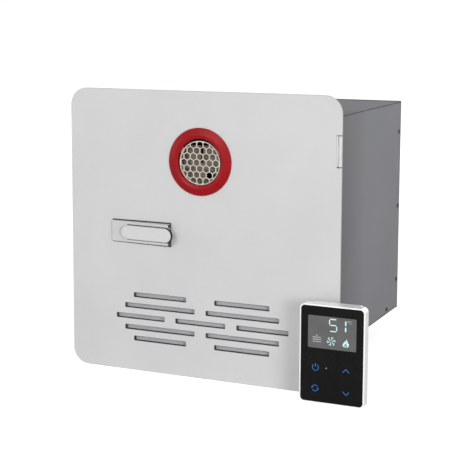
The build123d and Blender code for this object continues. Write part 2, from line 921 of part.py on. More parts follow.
with BuildPart() as latch_lever:
    with BuildSketch(lever_plane):
        SlotOverall(lever_length, 2 * lever_half_h)
    extrude(amount=lever_t)
    fillet(latch_lever.faces().sort_by(Axis.Y)[0].outer_wire().edges(), lever_bevel)
    # Sloped relief under the tail, so that it can swing towards the base
    with BuildSketch(Plane.XY):
        with BuildLine():
            Polyline(
                on_latch(lever_pin_at, lever_gap),
                on_latch(lever_start - tail_relief, lever_gap),
                on_latch(lever_start - tail_relief, lever_gap + tail_relief),
                on_latch(lever_start, lever_gap + tail_relief),
                close=True,
            )
        make_face()
    extrude(amount=lever_half_h, both=True, mode=Mode.SUBTRACT)
    with BuildSketch(Plane.XY):
        with Locations(lever_pin):
            Circle(boss_r)
        with Locations(((lever_pin[0] + on_latch(lever_pin_at, lever_gap)[0]) / 2,
                        (lever_pin[1] + on_latch(lever_pin_at, lever_gap)[1]) / 2)):
            Rectangle(2 * boss_r, lever_pin_below)
    extrude(amount=boss_half, both=True)
    # Arm through the door and the hook on its end
    with BuildSketch(Plane.XY):
        with BuildLine():
            Polyline(
                (lever_pin[0] - arm_w / 2, lever_pin[1]),
                (lever_pin[0] - arm_w / 2, hook_front),
                (hook_tip, hook_front),
                (hook_tip, hook_front + hook_t),
                (lever_pin[0] + arm_w / 2, hook_front + hook_t),
                (lever_pin[0] + arm_w / 2, lever_pin[1]),
                close=True,
            )
        make_face()
    extrude(amount=arm_half, both=True)
    with BuildSketch(Plane.XY):
        with Locations(lever_pin):
            Circle(lever_pin_r + pin_run_gap)
    extrude(amount=boss_half, both=True, mode=Mode.SUBTRACT)
latch_lever.part.label = "latch_lever"
export_step(latch_lever.part, "parts/latch_lever.step")

with BuildPart() as latch_pin:
    with BuildSketch(Plane.XY):
        with Locations(lever_pin):
            Circle(lever_pin_r)
    extrude(amount=lever_pin_length / 2, both=True)
latch_pin.part.label = "latch_pin"
export_step(latch_pin.part, "parts/latch_pin.step")

with BuildPart() as latch_screws:
    with BuildSketch(front(door_rear)):
        with Locations(*latch_screws_at):
            Circle(latch_screw_r - pin_press_gap)
    extrude(amount=latch_screw_length)
    with BuildSketch(front(door_rear)):
        with Locations(*latch_screws_at):
            Circle(latch_screw_head_r)
    extrude(amount=-latch_screw_head_h)
latch_screws.part.label = "latch_screws"
export_step(latch_screws.part, "parts/latch_screws.step")

with BuildPart() as latch_striker:
    striker_wall = collar_w / 2 - collar_t
    with BuildSketch(Plane.XY):
        with Locations((-striker_wall + striker_base_t / 2, striker_front + striker_base / 2)):
            Rectangle(striker_base_t, striker_base)
        tongue_end = hook_tip + striker_overlap
        with Locations(((tongue_end - striker_wall) / 2, striker_front + striker_t / 2)):
            Rectangle(tongue_end + striker_wall, striker_t)
    extrude(amount=striker_half, both=True)
latch_striker.part.label = "latch_striker"
export_step(latch_striker.part, "parts/latch_striker.step")

# ---------------------------------------------------------------- flue
with BuildPart() as exhaust_duct:
    with BuildSketch(front(tower_y)):
        with Locations((0, exhaust_z)):
            Circle(duct_r)
            Circle(duct_r - duct_t, mode=Mode.SUBTRACT)
    extrude(amount=tower_y - duct_front)
exhaust_duct.part.label = "exhaust_duct"
export_step(exhaust_duct.part, "parts/exhaust_duct.step")

with BuildPart() as duct_seal:
    with BuildSketch(front(duct_front + duct_seal_h)):
        with Locations((0, exhaust_z)):
            Circle(duct_r + duct_seal_w)
            Circle(duct_r + slip, mode=Mode.SUBTRACT)
    extrude(amount=duct_seal_h)
duct_seal.part.label = "duct_seal"
export_step(duct_seal.part, "parts/duct_seal.step")

with BuildPart() as flue_divider:
    # Draught plate across the duct, open along its top, beside its middle and at its lower right
    with BuildSketch(front(divider_front + divider_t)):
        with Locations((0, exhaust_z)):
            Circle(duct_r - duct_t - slip)
        with Locations((0, exhaust_z + divider_top + duct_r / 2)):
            Rectangle(2 * duct_r, duct_r, mode=Mode.SUBTRACT)
        with Locations((divider_slot_x, exhaust_z + (divider_top + divider_slot_low) / 2)):
            Rectangle(divider_slot_w, divider_top - divider_slot_low, mode=Mode.SUBTRACT)
        with Locations((divider_port_x, exhaust_z - divider_port_drop)):
            Circle(divider_port_r, mode=Mode.SUBTRACT)
    extrude(amount=divider_t)
flue_divider.part.label = "flue_divider"
export_step(flue_divider.part, "parts/flue_divider.step")


def open_box(low, high, mouth_up=True):
    """Sheet-metal box over the tower's plan from height low to high, open at one end."""
    with BuildPart() as box:
        with BuildSketch(Plane.XY.offset(low)):
            with Locations((0, tower_y + tower_depth / 2)):
                Rectangle(tower_w, tower_depth)
        extrude(amount=high - low)
        ends = box.faces().sort_by(Axis.Z)
        offset(amount=-tower_sheet, openings=[ends[-1] if mouth_up else ends[0]])
    return box


with BuildPart() as flue_hood:
    add(open_box(hood_z + tower_gap, hood_z + hood_h, mouth_up=False).part)
    with BuildSketch(front(tower_y + tower_sheet)):
        with Locations((0, exhaust_z)):
            Circle(duct_r - duct_t)
    extrude(amount=tower_sheet, mode=Mode.SUBTRACT)
flue_hood.part.label = "flue_hood"
export_step(flue_hood.part, "parts/flue_hood.step")

# ---------------------------------------------------------------- heat exchanger
tube_z = (fins_z + hood_z) / 2
tube_ys = [tower_y + tower_depth / 2 + tube_pitch * (i - (tube_passes - 1) / 2) for i in range(tube_passes)]

with BuildPart() as exchanger_fins:
    fin_xs = [fin_pitch * (i - (fin_count - 1) / 2) for i in range(fin_count)]
    with BuildSketch(*[Plane.YZ.offset(x - fin_t / 2) for x in fin_xs]):
        with Locations((tower_y + tower_depth / 2, tube_z)):
            Rectangle(tower_depth - 2 * fin_edge_gap, hood_z - fins_z - 2 * tower_gap)
        with Locations(*[(y, tube_z) for y in tube_ys]):
            Circle(tube_r + tube_gap, mode=Mode.SUBTRACT)
    extrude(amount=fin_t)
exchanger_fins.part.label = "exchanger_fins"
export_step(exchanger_fins.part, "parts/exchanger_fins.step")

with BuildPart() as exchanger_shell:
    with BuildSketch(Plane.XY.offset(fins_z + tower_gap)):
        with Locations((0, tower_y + tower_depth / 2)):
            Rectangle(tower_w, tower_depth)
            Rectangle(tower_w - 2 * tower_sheet, tower_depth - 2 * tower_sheet, mode=Mode.SUBTRACT)
    extrude(amount=hood_z - fins_z - tower_gap)
    with BuildSketch(Plane.YZ):
        with Locations(*[(y, tube_z) for y in tube_ys]):
            Circle(tube_r + tube_gap)
    extrude(amount=tower_w / 2, both=True, mode=Mode.SUBTRACT)
exchanger_shell.part.label = "exchanger_shell"
export_step(exchanger_shell.part, "parts/exchanger_shell.step")

pipe_start = tower_w / 2 + tube_stub

with BuildPart() as exchanger_tubes:
    with BuildLine() as serpentine:
        at = (pipe_start, tube_ys[0], tube_z)
        for i, y in enumerate(tube_ys):
            side = -1 if i % 2 == 0 else 1
            last = i == tube_passes - 1
            end_x = side * (pipe_start if last else tower_w / 2 + slip)
            Line(at, (end_x, y, tube_z))
            if not last:
                next_y = tube_ys[i + 1]
                apex = (end_x + side * tube_pitch / 2, (y + next_y) / 2, tube_z)
                ThreePointArc((end_x, y, tube_z), apex, (end_x, next_y, tube_z))
                at = (end_x, next_y, tube_z)
    with BuildSketch(Plane(origin=serpentine.line @ 0, z_dir=serpentine.line % 0)):
        Circle(tube_r)
        Circle(tube_r - tube_wall, mode=Mode.SUBTRACT)
    sweep(path=serpentine.line)
exchanger_tubes.part.label = "exchanger_tubes"
export_step(exchanger_tubes.part, "parts/exchanger_tubes.step")

# ---------------------------------------------------------------- burner
electrodes_at = [(0, burner_z + electrode_up), (electrode_pitch, burner_z + electrode_up)]

with BuildPart() as combustion_chamber:
    with BuildSketch(Plane.XY.offset(burner_z + tower_gap)):
        with Locations((0, tower_y + tower_depth / 2)):
            Rectangle(tower_w, tower_depth)
            Rectangle(tower_w - 2 * tower_sheet, tower_depth - 2 * tower_sheet, mode=Mode.SUBTRACT)
    extrude(amount=fins_z - burner_z - tower_gap)
    with BuildSketch(front(tower_y + tower_sheet)):
        with Locations((sight_x, sight_z)):
            Circle(sight_r)
        with Locations(*electrodes_at):
            Circle(electrode_r + slip)
    extrude(amount=tower_sheet, mode=Mode.SUBTRACT)
combustion_chamber.part.label = "combustion_chamber"
export_step(combustion_chamber.part, "parts/combustion_chamber.step")

duct_out_x = blower_r - blower_outlet_w / 2
nozzle_pitch = (tower_w - 2 * tower_sheet - 2 * burner_side_gap) / burner_count
burner_xs = [nozzle_pitch * (i - (burner_count - 1) / 2) for i in range(burner_count)]
nozzle_z = burner_z - burner_bar_h

with BuildPart() as burner_tray:
    add(open_box(tray_z, burner_z).part)
    with BuildSketch(front(tower_y + tower_sheet)):
        with Locations(*[(x, nozzle_z) for x in burner_xs]):
            Circle(nozzle_r + 2 * slip)
    extrude(amount=tower_sheet, mode=Mode.SUBTRACT)
    with BuildSketch(front(tower_back)):
        with Locations((duct_out_x, (tray_z + nozzle_z) / 2)):
            Rectangle(blower_outlet_w - 2 * blower_wall, nozzle_z - tray_z - 2 * blower_wall)
    extrude(amount=tower_sheet, mode=Mode.SUBTRACT)
burner_tray.part.label = "burner_tray"
export_step(burner_tray.part, "parts/burner_tray.step")

with BuildPart() as burner_bars:
    bar_y = tower_y + tower_sheet + nozzle_length
    bar_depth = tower_depth - 2 * tower_sheet - nozzle_length - tower_gap
    with BuildSketch(Plane.XY.offset(burner_z)):
        with Locations(*[(x, bar_y + bar_depth / 2) for x in burner_xs]):
            Rectangle(burner_bar_w, bar_depth)
    extrude(amount=-(burner_z - tray_z - tower_sheet))
    port_count = int(bar_depth / burner_port_pitch) - 1
    with BuildSketch(Plane.XY.offset(burner_z)):
        for x in burner_xs:
            with Locations((x, bar_y + bar_depth / 2)):
                with GridLocations(0, burner_port_pitch, 1, port_count):
                    Rectangle(burner_bar_w - 2 * burner_port, burner_port)
    extrude(amount=-burner_port_depth, mode=Mode.SUBTRACT)
    with BuildSketch(front(bar_y)):
        with Locations(*[(x, nozzle_z) for x in burner_xs]):
            Circle(nozzle_r)
    extrude(amount=-burner_throat, mode=Mode.SUBTRACT)
burner_bars.part.label = "burner_bars"
export_step(burner_bars.part, "parts/burner_bars.step")

with BuildPart() as igniter_electrodes:
    electrode_end = tower_y - electrode_front + electrode_body
    with BuildSketch(front(electrode_end)):
        with Locations(*electrodes_at):
            Circle(electrode_r)
    extrude(amount=electrode_body)
    with BuildSketch(front(electrode_end)):
        with Locations(*electrodes_at):
            Circle(electrode_tip_r)
    extrude(amount=-electrode_tip)
    with BuildSketch(front(tower_y)):
        with Locations(*electrodes_at):
            Circle(electrode_collar_r)
    extrude(amount=electrode_collar_t)
igniter_electrodes.part.label = "igniter_electrodes"
export_step(igniter_electrodes.part, "parts/igniter_electrodes.step")

# ---------------------------------------------------------------- gas train
valve_z = nozzle_z
manifold_y = tower_y - manifold_s / 2 - slip
valve_side = gas_x + valve_w / 2

with BuildPart() as gas_manifold:
    manifold_end = burner_xs[-1] + nozzle_pitch / 2
    with BuildSketch(Plane.YZ.offset(valve_side + valve_gap)):
        with Locations((manifold_y, nozzle_z)):
            Rectangle(manifold_s, manifold_s)
    extrude(amount=manifold_end - valve_side - valve_gap)
    fillet(gas_manifold.edges().filter_by(Axis.X), manifold_r)
    with BuildSketch(front(manifold_y + manifold_s / 2)):
        with Locations(*[(x, nozzle_z) for x in burner_xs]):
            Circle(nozzle_r)
    extrude(amount=-nozzle_length)
    with BuildSketch(front(manifold_y + manifold_s / 2 + nozzle_length)):
        with Locations(*[(x, nozzle_z) for x in burner_xs]):
            Circle(jet_r)
    extrude(amount=nozzle_length, mode=Mode.SUBTRACT)
gas_manifold.part.label = "gas_manifold"
export_step(gas_manifold.part, "parts/gas_manifold.step")

valve_foot = valve_z - valve_h / 2

with BuildPart() as gas_valve:
    with BuildSketch(Plane.XY.offset(valve_foot)):
        with Locations((gas_x, valve_y + valve_depth / 2)):
            RectangleRounded(valve_w, valve_depth, valve_corner_r)
    extrude(amount=valve_h)
    # Two solenoid coils on top
    with BuildSketch(Plane.XY.offset(valve_foot + valve_h)):
        with Locations((gas_x, valve_y + valve_depth / 2)):
            with GridLocations(0, coil_pitch, 1, 2):
                Circle(coil_r)
    extrude(amount=coil_h)
    # Boss for the gas pipe from behind
    with BuildSketch(front(valve_y + valve_depth)):
        with Locations((gas_x, valve_z)):
            Circle(gas_boss_r)
    extrude(amount=-gas_boss_t)
    with BuildSketch(front(valve_y + valve_depth + gas_boss_t)):
        with Locations((gas_x, valve_z)):
            Circle(gas_pipe_r + slip)
    extrude(amount=2 * gas_boss_t, mode=Mode.SUBTRACT)
gas_valve.part.label = "gas_valve"
export_step(gas_valve.part, "parts/gas_valve.step")

gas_end = case_depth - sheet - port_flange_t
with BuildPart() as gas_pipe:
    gas_start = valve_y + valve_depth
    gas_turn = (gas_start + gas_end) / 2
    with BuildLine() as gas_run:
        FilletPolyline(
            (gas_x, gas_start, valve_z),
            (gas_x, gas_turn, valve_z),
            (gas_x, gas_turn + (valve_z - port_z), port_z),
            (gas_x, gas_end, port_z),
            radius=pipe_bend,
        )
    with BuildSketch(Plane(origin=gas_run.line @ 0, z_dir=gas_run.line % 0)):
        Circle(gas_pipe_r)
        Circle(gas_pipe_r - tube_wall, mode=Mode.SUBTRACT)
    sweep(path=gas_run.line)
gas_pipe.part.label = "gas_pipe"
export_step(gas_pipe.part, "parts/gas_pipe.step")


def rear_port(x, thread_r, bore_r):
    """Threaded connection through the rear panel, with its inside flange and outside nut."""
    with BuildPart() as port:
        with BuildSketch(front(case_depth - sheet - port_flange_t)):
            with Locations((x, port_z)):
                Circle(thread_r + port_flange_w)
        extrude(amount=-port_flange_t)
        with BuildSketch(front(case_depth - sheet)):
            with Locations((x, port_z)):
                Circle(thread_r)
        extrude(amount=-(sheet + port_out))
        with BuildSketch(front(case_depth)):
            with Locations((x, port_z)):
                RegularPolygon(thread_r + port_nut_wall, 6, major_radius=False)
        extrude(amount=-port_nut_h)
        chamfer(port.faces().sort_by(Axis.Y)[-1].edges(), port_chamfer)
        with BuildSketch(front(case_depth + port_out)):
            with Locations((x, port_z)):
                Circle(bore_r)
        extrude(amount=port_out + sheet + port_flange_t, mode=Mode.SUBTRACT)
    return port


water_inlet_fitting = rear_port(inlet_x, water_thread_r, water_bore_r)
water_inlet_fitting.part.label = "water_inlet_fitting"
export_step(water_inlet_fitting.part, "parts/water_inlet_fitting.step")

water_outlet_fitting = rear_port(outlet_x, water_thread_r, water_bore_r)
water_outlet_fitting.part.label = "water_outlet_fitting"
export_step(water_outlet_fitting.part, "parts/water_outlet_fitting.step")

gas_inlet_fitting = rear_port(gas_x, gas_thread_r, gas_pipe_r)
gas_inlet_fitting.part.label = "gas_inlet_fitting"
export_step(gas_inlet_fitting.part, "parts/gas_inlet_fitting.step")

with BuildPart() as rear_gland:
    with BuildSketch(front(case_depth - sheet - gland_lip_t)):
        with Locations((gland_x, port_z)):
            Circle(gland_r + gland_lip)
    extrude(amount=-gland_lip_t)
    with BuildSketch(front(case_depth - sheet)):
        with Locations((gland_x, port_z)):
            Circle(gland_r)
    extrude(amount=-sheet)
    with BuildSketch(front(case_depth)):
        with Locations((gland_x, port_z)):
            Circle(gland_r + gland_lip)
    extrude(amount=-gland_lip_t)
    fillet(rear_gland.faces().sort_by(Axis.Y)[-1].outer_wire().edges(), gland_edge_r)
    with BuildSketch(front(case_depth + gland_lip_t)):
        with Locations((gland_x, port_z)):
            Circle(gland_bore_r)
    extrude(amount=2 * gland_lip_t + sheet, mode=Mode.SUBTRACT)
rear_gland.part.label = "rear_gland"
export_step(rear_gland.part, "parts/rear_gland.step")

# ---------------------------------------------------------------- water
sensor_end = case_depth - sheet - port_flange_t
sensor_start = sensor_end - sensor_length
sensor_mid = (sensor_start + sensor_end) / 2

with BuildPart() as flow_sensor:
    with BuildSketch(front(sensor_end)):
        with Locations((inlet_x, port_z)):
            Circle(sensor_r)
    extrude(amount=sensor_length)
    with BuildSketch(front(sensor_end)):
        with Locations((inlet_x, port_z)):
            Circle(sensor_bore_r)
    extrude(amount=sensor_length - sensor_end_t, mode=Mode.SUBTRACT)
    with BuildSketch(front(sensor_end)):
        with Locations((inlet_x, port_z)):
            Circle(tube_r - tube_wall)
    extrude(amount=sensor_length, mode=Mode.SUBTRACT)
    # Spider and pin that carry the rotor
    spider_back = sensor_mid + rotor_length / 2 + spider_gap + spider_t
    with BuildSketch(front(spider_back)):
        with Locations((inlet_x, port_z)):
            Rectangle(sensor_r + sensor_bore_r, spider_w)
            Rectangle(spider_w, sensor_r + sensor_bore_r)
    extrude(amount=spider_t)
    with BuildSketch(front(spider_back)):
        with Locations((inlet_x, port_z)):
            Circle(rotor_pin_r)
    extrude(amount=rotor_length + spider_gap + 2 * spider_t)
    # Pick-up coil on the side
    with BuildSketch(Plane.YZ.offset(inlet_x - (sensor_r + sensor_bore_r) / 2)):
        with Locations((sensor_mid, port_z)):
            Rectangle(sensor_coil_w, sensor_coil_w)
    extrude(amount=-sensor_coil_h)
flow_sensor.part.label = "flow_sensor"
export_step(flow_sensor.part, "parts/flow_sensor.step")

with BuildPart() as flow_rotor:
    with BuildSketch(front(sensor_mid + rotor_length / 2)):
        with Locations((inlet_x, port_z)):
            Circle(rotor_hub_r)
            with PolarLocations(rotor_r / 2, rotor_vanes):
                Rectangle(rotor_r, rotor_vane_t)
            Circle(rotor_pin_r + pin_run_gap, mode=Mode.SUBTRACT)
    extrude(amount=rotor_length)
flow_rotor.part.label = "flow_rotor"
export_step(flow_rotor.part, "parts/flow_rotor.step")

with BuildPart() as water_pipes:
    run_start = pipe_start + tube_gap
    for x, y, end in ((inlet_x, tube_ys[0], sensor_start), (outlet_x, tube_ys[-1], sensor_end)):
        with BuildLine() as pipe_run:
            FilletPolyline(
                (run_start, y, tube_z),
                (x, y, tube_z),
                (x, y, port_z),
                (x, end, port_z),
                radius=min(pipe_bend, x - run_start - slip),
            )
        with BuildSketch(Plane(origin=pipe_run.line @ 0, z_dir=pipe_run.line % 0)):
            Circle(tube_r)
            Circle(tube_r - tube_wall, mode=Mode.SUBTRACT)
        sweep(path=pipe_run.line)
water_pipes.part.label = "water_pipes"
export_step(water_pipes.part, "parts/water_pipes.step")

# ---------------------------------------------------------------- blower
duct_z = (tray_z + nozzle_z) / 2
duct_h = nozzle_z - tray_z
blower_back = blower_y + blower_depth


def scroll(grow, y_front, y_back):
    """Scroll of the blower, its downward outlet and the elbow to the burner tray."""
    with BuildPart() as body:
        with BuildSketch(front(y_back)):
            with Locations((0, blower_z)):
                Circle(blower_r + grow)
            with Locations((duct_out_x, (blower_z + tray_z) / 2)):
                Rectangle(blower_outlet_w + 2 * grow, blower_z - tray_z + 2 * grow)
        extrude(amount=y_back - y_front)
    return body


with BuildPart() as blower_housing:
    add(scroll(0, blower_y, blower_back).part)
    with BuildSketch(front(blower_y)):
        with Locations((duct_out_x, duct_z)):
            Rectangle(blower_outlet_w, duct_h)
    extrude(amount=blower_y - tower_back)
    add(scroll(-blower_wall, blower_y + blower_wall, blower_back - blower_wall).part, mode=Mode.SUBTRACT)
    with BuildSketch(front(blower_y + 2 * blower_wall)):
        with Locations((duct_out_x, duct_z)):
            Rectangle(blower_outlet_w - 2 * blower_wall, duct_h - 2 * blower_wall)
    extrude(amount=blower_y + 2 * blower_wall - tower_back, mode=Mode.SUBTRACT)
    with BuildSketch(front(blower_y + blower_wall)):
        with Locations((0, blower_z)):
            Circle(blower_eye_r)
    extrude(amount=blower_wall, mode=Mode.SUBTRACT)
    with BuildSketch(front(blower_back)):
        with Locations((0, blower_z)):
            Circle(shaft_hole_r)
    extrude(amount=blower_wall, mode=Mode.SUBTRACT)
blower_housing.part.label = "blower_housing"
export_step(blower_housing.part, "parts/blower_housing.step")

impeller_back = blower_back - (blower_depth - impeller_depth) / 2

with BuildPart() as blower_impeller:
    with BuildSketch(front(impeller_back)):
        with Locations((0, blower_z)):
            Circle(impeller_r)
    extrude(amount=impeller_t)
    with BuildSketch(front(impeller_back - impeller_t)):
        with Locations((0, blower_z)):
            with PolarLocations(impeller_r - impeller_blade_w / 2, impeller_blades):
                Rectangle(impeller_blade_w, impeller_t, rotation=impeller_blade_turn)
            Circle(impeller_r, mode=Mode.INTERSECT)
    extrude(amount=impeller_depth - 2 * impeller_t)
    with BuildSketch(front(impeller_back - impeller_depth + impeller_t)):
        with Locations((0, blower_z)):
            Circle(impeller_r)
            Circle(impeller_r - impeller_blade_w, mode=Mode.SUBTRACT)
    extrude(amount=impeller_t)
    with BuildSketch(front(impeller_back)):
        with Locations((0, blower_z)):
            Circle(impeller_hub_r)
    extrude(amount=impeller_hub_h)
    with BuildSketch(front(blower_back + shaft_in_motor)):
        with Locations((0, blower_z)):
            Circle(shaft_r)
    extrude(amount=blower_back + shaft_in_motor - impeller_back)
blower_impeller.part.label = "blower_impeller"
export_step(blower_impeller.part, "parts/blower_impeller.step")

with BuildPart() as blower_motor:
    with BuildSketch(front(blower_back)):
        with Locations((0, blower_z)):
            Circle(motor_r)
    extrude(amount=-motor_length)
    fillet(blower_motor.faces().sort_by(Axis.Y)[-1].edges(), motor_edge_r)
    with BuildSketch(front(blower_back)):
        with Locations((0, blower_z)):
            Circle(shaft_r + pin_run_gap)
    extrude(amount=-(shaft_in_motor + slip), mode=Mode.SUBTRACT)
blower_motor.part.label = "blower_motor"
export_step(blower_motor.part, "parts/blower_motor.step")

# ---------------------------------------------------------------- control box
control_x = -inner_w / 2 + control_w / 2
control_mid_y = control_y + control_depth / 2

with BuildPart() as control_box:
    with BuildSketch(Plane.YZ.offset(control_x - control_w / 2)):
        with Locations((control_mid_y, control_z)):
            RectangleRounded(control_depth, control_h, control_corner_r)
    extrude(amount=control_w - control_wall)
    with BuildSketch(Plane.YZ.offset(control_x - control_w / 2 + control_wall)):
        with Locations((control_mid_y, control_z)):
            Rectangle(control_depth - 2 * control_wall, control_h - 2 * control_wall)
    extrude(amount=control_w, mode=Mode.SUBTRACT)
control_box.part.label = "control_box"
export_step(control_box.part, "parts/control_box.step")

with BuildPart() as control_lid:
    with BuildSketch(Plane.YZ.offset(control_x + control_w / 2 - control_wall)):
        with Locations((control_mid_y, control_z)):
            RectangleRounded(control_depth, control_h, control_corner_r)
    extrude(amount=control_wall)
control_lid.part.label = "control_lid"
export_step(control_lid.part, "parts/control_lid.step")

with BuildPart() as control_board:
    board_low = control_x - control_w / 2 + control_wall
    board_edge_gap = control_wall + board_gap
    with BuildSketch(Plane.YZ.offset(board_low + board_lift)):
        with Locations((control_mid_y, control_z)):
            Rectangle(control_depth - 2 * board_edge_gap, control_h - 2 * board_edge_gap)
    extrude(amount=board_t)
    # Pillars to the box, and the relay, coil and capacitor blocks
    with BuildSketch(Plane.YZ.offset(board_low)):
        with Locations((control_mid_y, control_z)):
            with GridLocations(board_pillar_y, board_pillar_z, 2, 2):
                Circle(board_pillar_r)
    extrude(amount=board_lift)
    with BuildSketch(Plane.YZ.offset(board_low + board_lift + board_t)):
        with Locations((control_mid_y, control_z)):
            with GridLocations(block_pitch_y, block_pitch_z, 3, 3):
                Rectangle(block_y, block_z)
            with GridLocations(block_pitch_y, block_pitch_z, 2, 2):
                Circle(capacitor_r)
    extrude(amount=block_h)
control_board.part.label = "control_board"
export_step(control_board.part, "parts/control_board.step")

# ---------------------------------------------------------------- power switch
rocker_pivot = (cover_y + rocker_pivot_back, switch_z)

with BuildPart() as power_switch:
    with BuildSketch(front(cover_y)):
        with Locations((switch_x, switch_z)):
            RectangleRounded(switch_w + 2 * switch_bezel, switch_h + 2 * switch_bezel, switch_bezel)
    extrude(amount=switch_bezel_t)
    with BuildSketch(front(cover_y)):
        with Locations((switch_x, switch_z)):
            Rectangle(switch_w, switch_h)
    extrude(amount=-switch_depth)
    with BuildSketch(Plane.YZ.offset(switch_x)):
        with Locations(rocker_pivot):
            Circle(rocker_half + rocker_gap)
        with Locations((cover_y - switch_bezel_t, switch_z)):
            Rectangle(2 * rocker_half, 2 * (rocker_half + rocker_gap))
    extrude(amount=rocker_w / 2 + rocker_gap, both=True, mode=Mode.SUBTRACT)
    with BuildSketch(Plane.YZ.offset(switch_x)):
        with Locations(rocker_pivot):
            Circle(rocker_pin_r + pin_run_gap)
    extrude(amount=rocker_w / 2 + 3 * rocker_gap, both=True, mode=Mode.SUBTRACT)
power_switch.part.label = "power_switch"
export_step(power_switch.part, "parts/power_switch.step")

rocker_plane = Plane(
    origin=(switch_x, rocker_pivot[0], rocker_pivot[1]),
    x_dir=(0, cos(radians(rocker_tilt)), -sin(radians(rocker_tilt))),
    z_dir=(1, 0, 0),
)

with BuildPart() as power_rocker:
    rocker_face = -(rocker_pivot_back + switch_bezel_t)
    with BuildSketch(rocker_plane):
        with BuildLine():
            Polyline(
                (rocker_root, rocker_root),
                (0, rocker_tip),
                (rocker_face - rocker_rise, rocker_lip),
                (rocker_face, 0),
                (rocker_face - rocker_rise, -rocker_lip),
                (0, -rocker_tip),
                (rocker_root, -rocker_root),
                close=True,
            )
        make_face()
    extrude(amount=rocker_w / 2, both=True)
    with BuildSketch(rocker_plane):
        Circle(rocker_pin_r)
    extrude(amount=rocker_w / 2 + 2 * rocker_gap, both=True)
power_rocker.part.label = "power_rocker"
export_step(power_rocker.part, "parts/power_rocker.step")

# ---------------------------------------------------------------- separate control panel
panel_z = floor_z + panel_h / 2
panel_front = door_front - panel_ahead
panel_back = panel_front + panel_shell
glass_w = panel_w - 2 * panel_rim
glass_h = panel_h - 2 * panel_rim
glass_r = panel_r - panel_rim
window_z = panel_z + glass_h / 2 - window_top - window_h / 2

with BuildPart() as controller_shell:
    with BuildSketch(front(panel_back)):
        with Locations((panel_x, panel_z)):
            RectangleRounded(panel_w, panel_h, panel_r)
    extrude(amount=panel_shell)
    fillet(controller_shell.faces().sort_by(Axis.Y)[0].outer_wire().edges(), panel_edge_r)
    with BuildSketch(front(panel_front + glass_sunk)):
        with Locations((panel_x, panel_z)):
            RectangleRounded(glass_w + 2 * glass_gap, glass_h + 2 * glass_gap, glass_r + glass_gap)
    extrude(amount=glass_sunk, mode=Mode.SUBTRACT)
    with BuildSketch(front(panel_back)):
        with Locations((panel_x, panel_z)):
            RectangleRounded(panel_w - 2 * panel_wall, panel_h - 2 * panel_wall, panel_r - panel_wall)
    extrude(amount=panel_shell - glass_sunk - panel_wall, mode=Mode.SUBTRACT)
    with BuildSketch(front(panel_front + glass_sunk + panel_wall)):
        with Locations((panel_x, window_z)):
            Rectangle(window_w - 2 * panel_wall, window_h - 2 * panel_wall)
    extrude(amount=2 * panel_wall, mode=Mode.SUBTRACT)
controller_shell.part.label = "controller_shell"
export_step(controller_shell.part, "parts/controller_shell.step")

with BuildPart() as controller_glass:
    with BuildSketch(front(panel_front + glass_sunk)):
        with Locations((panel_x, panel_z)):
            RectangleRounded(glass_w, glass_h, glass_r)
        with Locations((panel_x, window_z)):
            RectangleRounded(
                window_w + 2 * glass_gap, window_h + 2 * glass_gap, window_r, mode=Mode.SUBTRACT
            )
    extrude(amount=glass_t)
controller_glass.part.label = "controller_glass"
export_step(controller_glass.part, "parts/controller_glass.step")

with BuildPart() as controller_display:
    with BuildSketch(front(panel_front + glass_sunk)):
        with Locations((panel_x, window_z)):
            RectangleRounded(window_w, window_h, window_r)
    extrude(amount=display_t)
controller_display.part.label = "controller_display"
export_step(controller_display.part, "parts/controller_display.step")

panel_box_back = panel_back + back_box_depth
back_box_w = panel_w - 2 * back_box_inset
back_box_h = panel_h - 2 * back_box_top_inset

with BuildPart() as controller_back:
    # Plate that closes the shell, with a narrower box behind it
    with BuildSketch(front(panel_back)):
        with Locations((panel_x, panel_z)):
            RectangleRounded(
                panel_w - 2 * panel_wall - 2 * back_gap,
                panel_h - 2 * panel_wall - 2 * back_gap,
                panel_r - panel_wall - back_gap,
            )
    extrude(amount=back_t)
    with BuildSketch(front(panel_box_back)):
        with Locations((panel_x, panel_z)):
            RectangleRounded(back_box_w, back_box_h, back_box_r)
    extrude(amount=back_box_depth)
    with BuildSketch(front(panel_box_back - back_t)):
        with Locations((panel_x, panel_z)):
            RectangleRounded(back_box_w - 2 * back_t, back_box_h - 2 * back_t, back_box_r - back_t)
    extrude(amount=back_box_depth, mode=Mode.SUBTRACT)
    with BuildSketch(front(panel_box_back)):
        with Locations((panel_x, panel_z - socket_drop)):
            Rectangle(socket_w + 2 * back_gap, socket_h + 2 * back_gap)
    extrude(amount=back_t, mode=Mode.SUBTRACT)
controller_back.part.label = "controller_back"
export_step(controller_back.part, "parts/controller_back.step")

with BuildPart() as controller_board:
    with BuildSketch(front(panel_box_back - back_t)):
        with Locations((panel_x, panel_z)):
            with GridLocations(panel_pillar_x, panel_pillar_z, 2, 2):
                Circle(panel_pillar_r)
    extrude(amount=back_box_depth + panel_wall)
    with BuildSketch(front(panel_back - back_t - panel_wall)):
        with Locations((panel_x, panel_z)):
            board_edge = panel_wall + panel_board_gap
            RectangleRounded(panel_w - 2 * board_edge, panel_h - 2 * board_edge, panel_r - board_edge)
    extrude(amount=board_t)
    with BuildSketch(front(panel_box_back)):
        with Locations((panel_x, panel_z - socket_drop)):
            Rectangle(socket_w, socket_h)
            Rectangle(socket_w - 2 * socket_wall, socket_h - 2 * socket_wall, mode=Mode.SUBTRACT)
    extrude(amount=back_box_depth + back_t + panel_wall)
controller_board.part.label = "controller_board"
export_step(controller_board.part, "parts/controller_board.step")

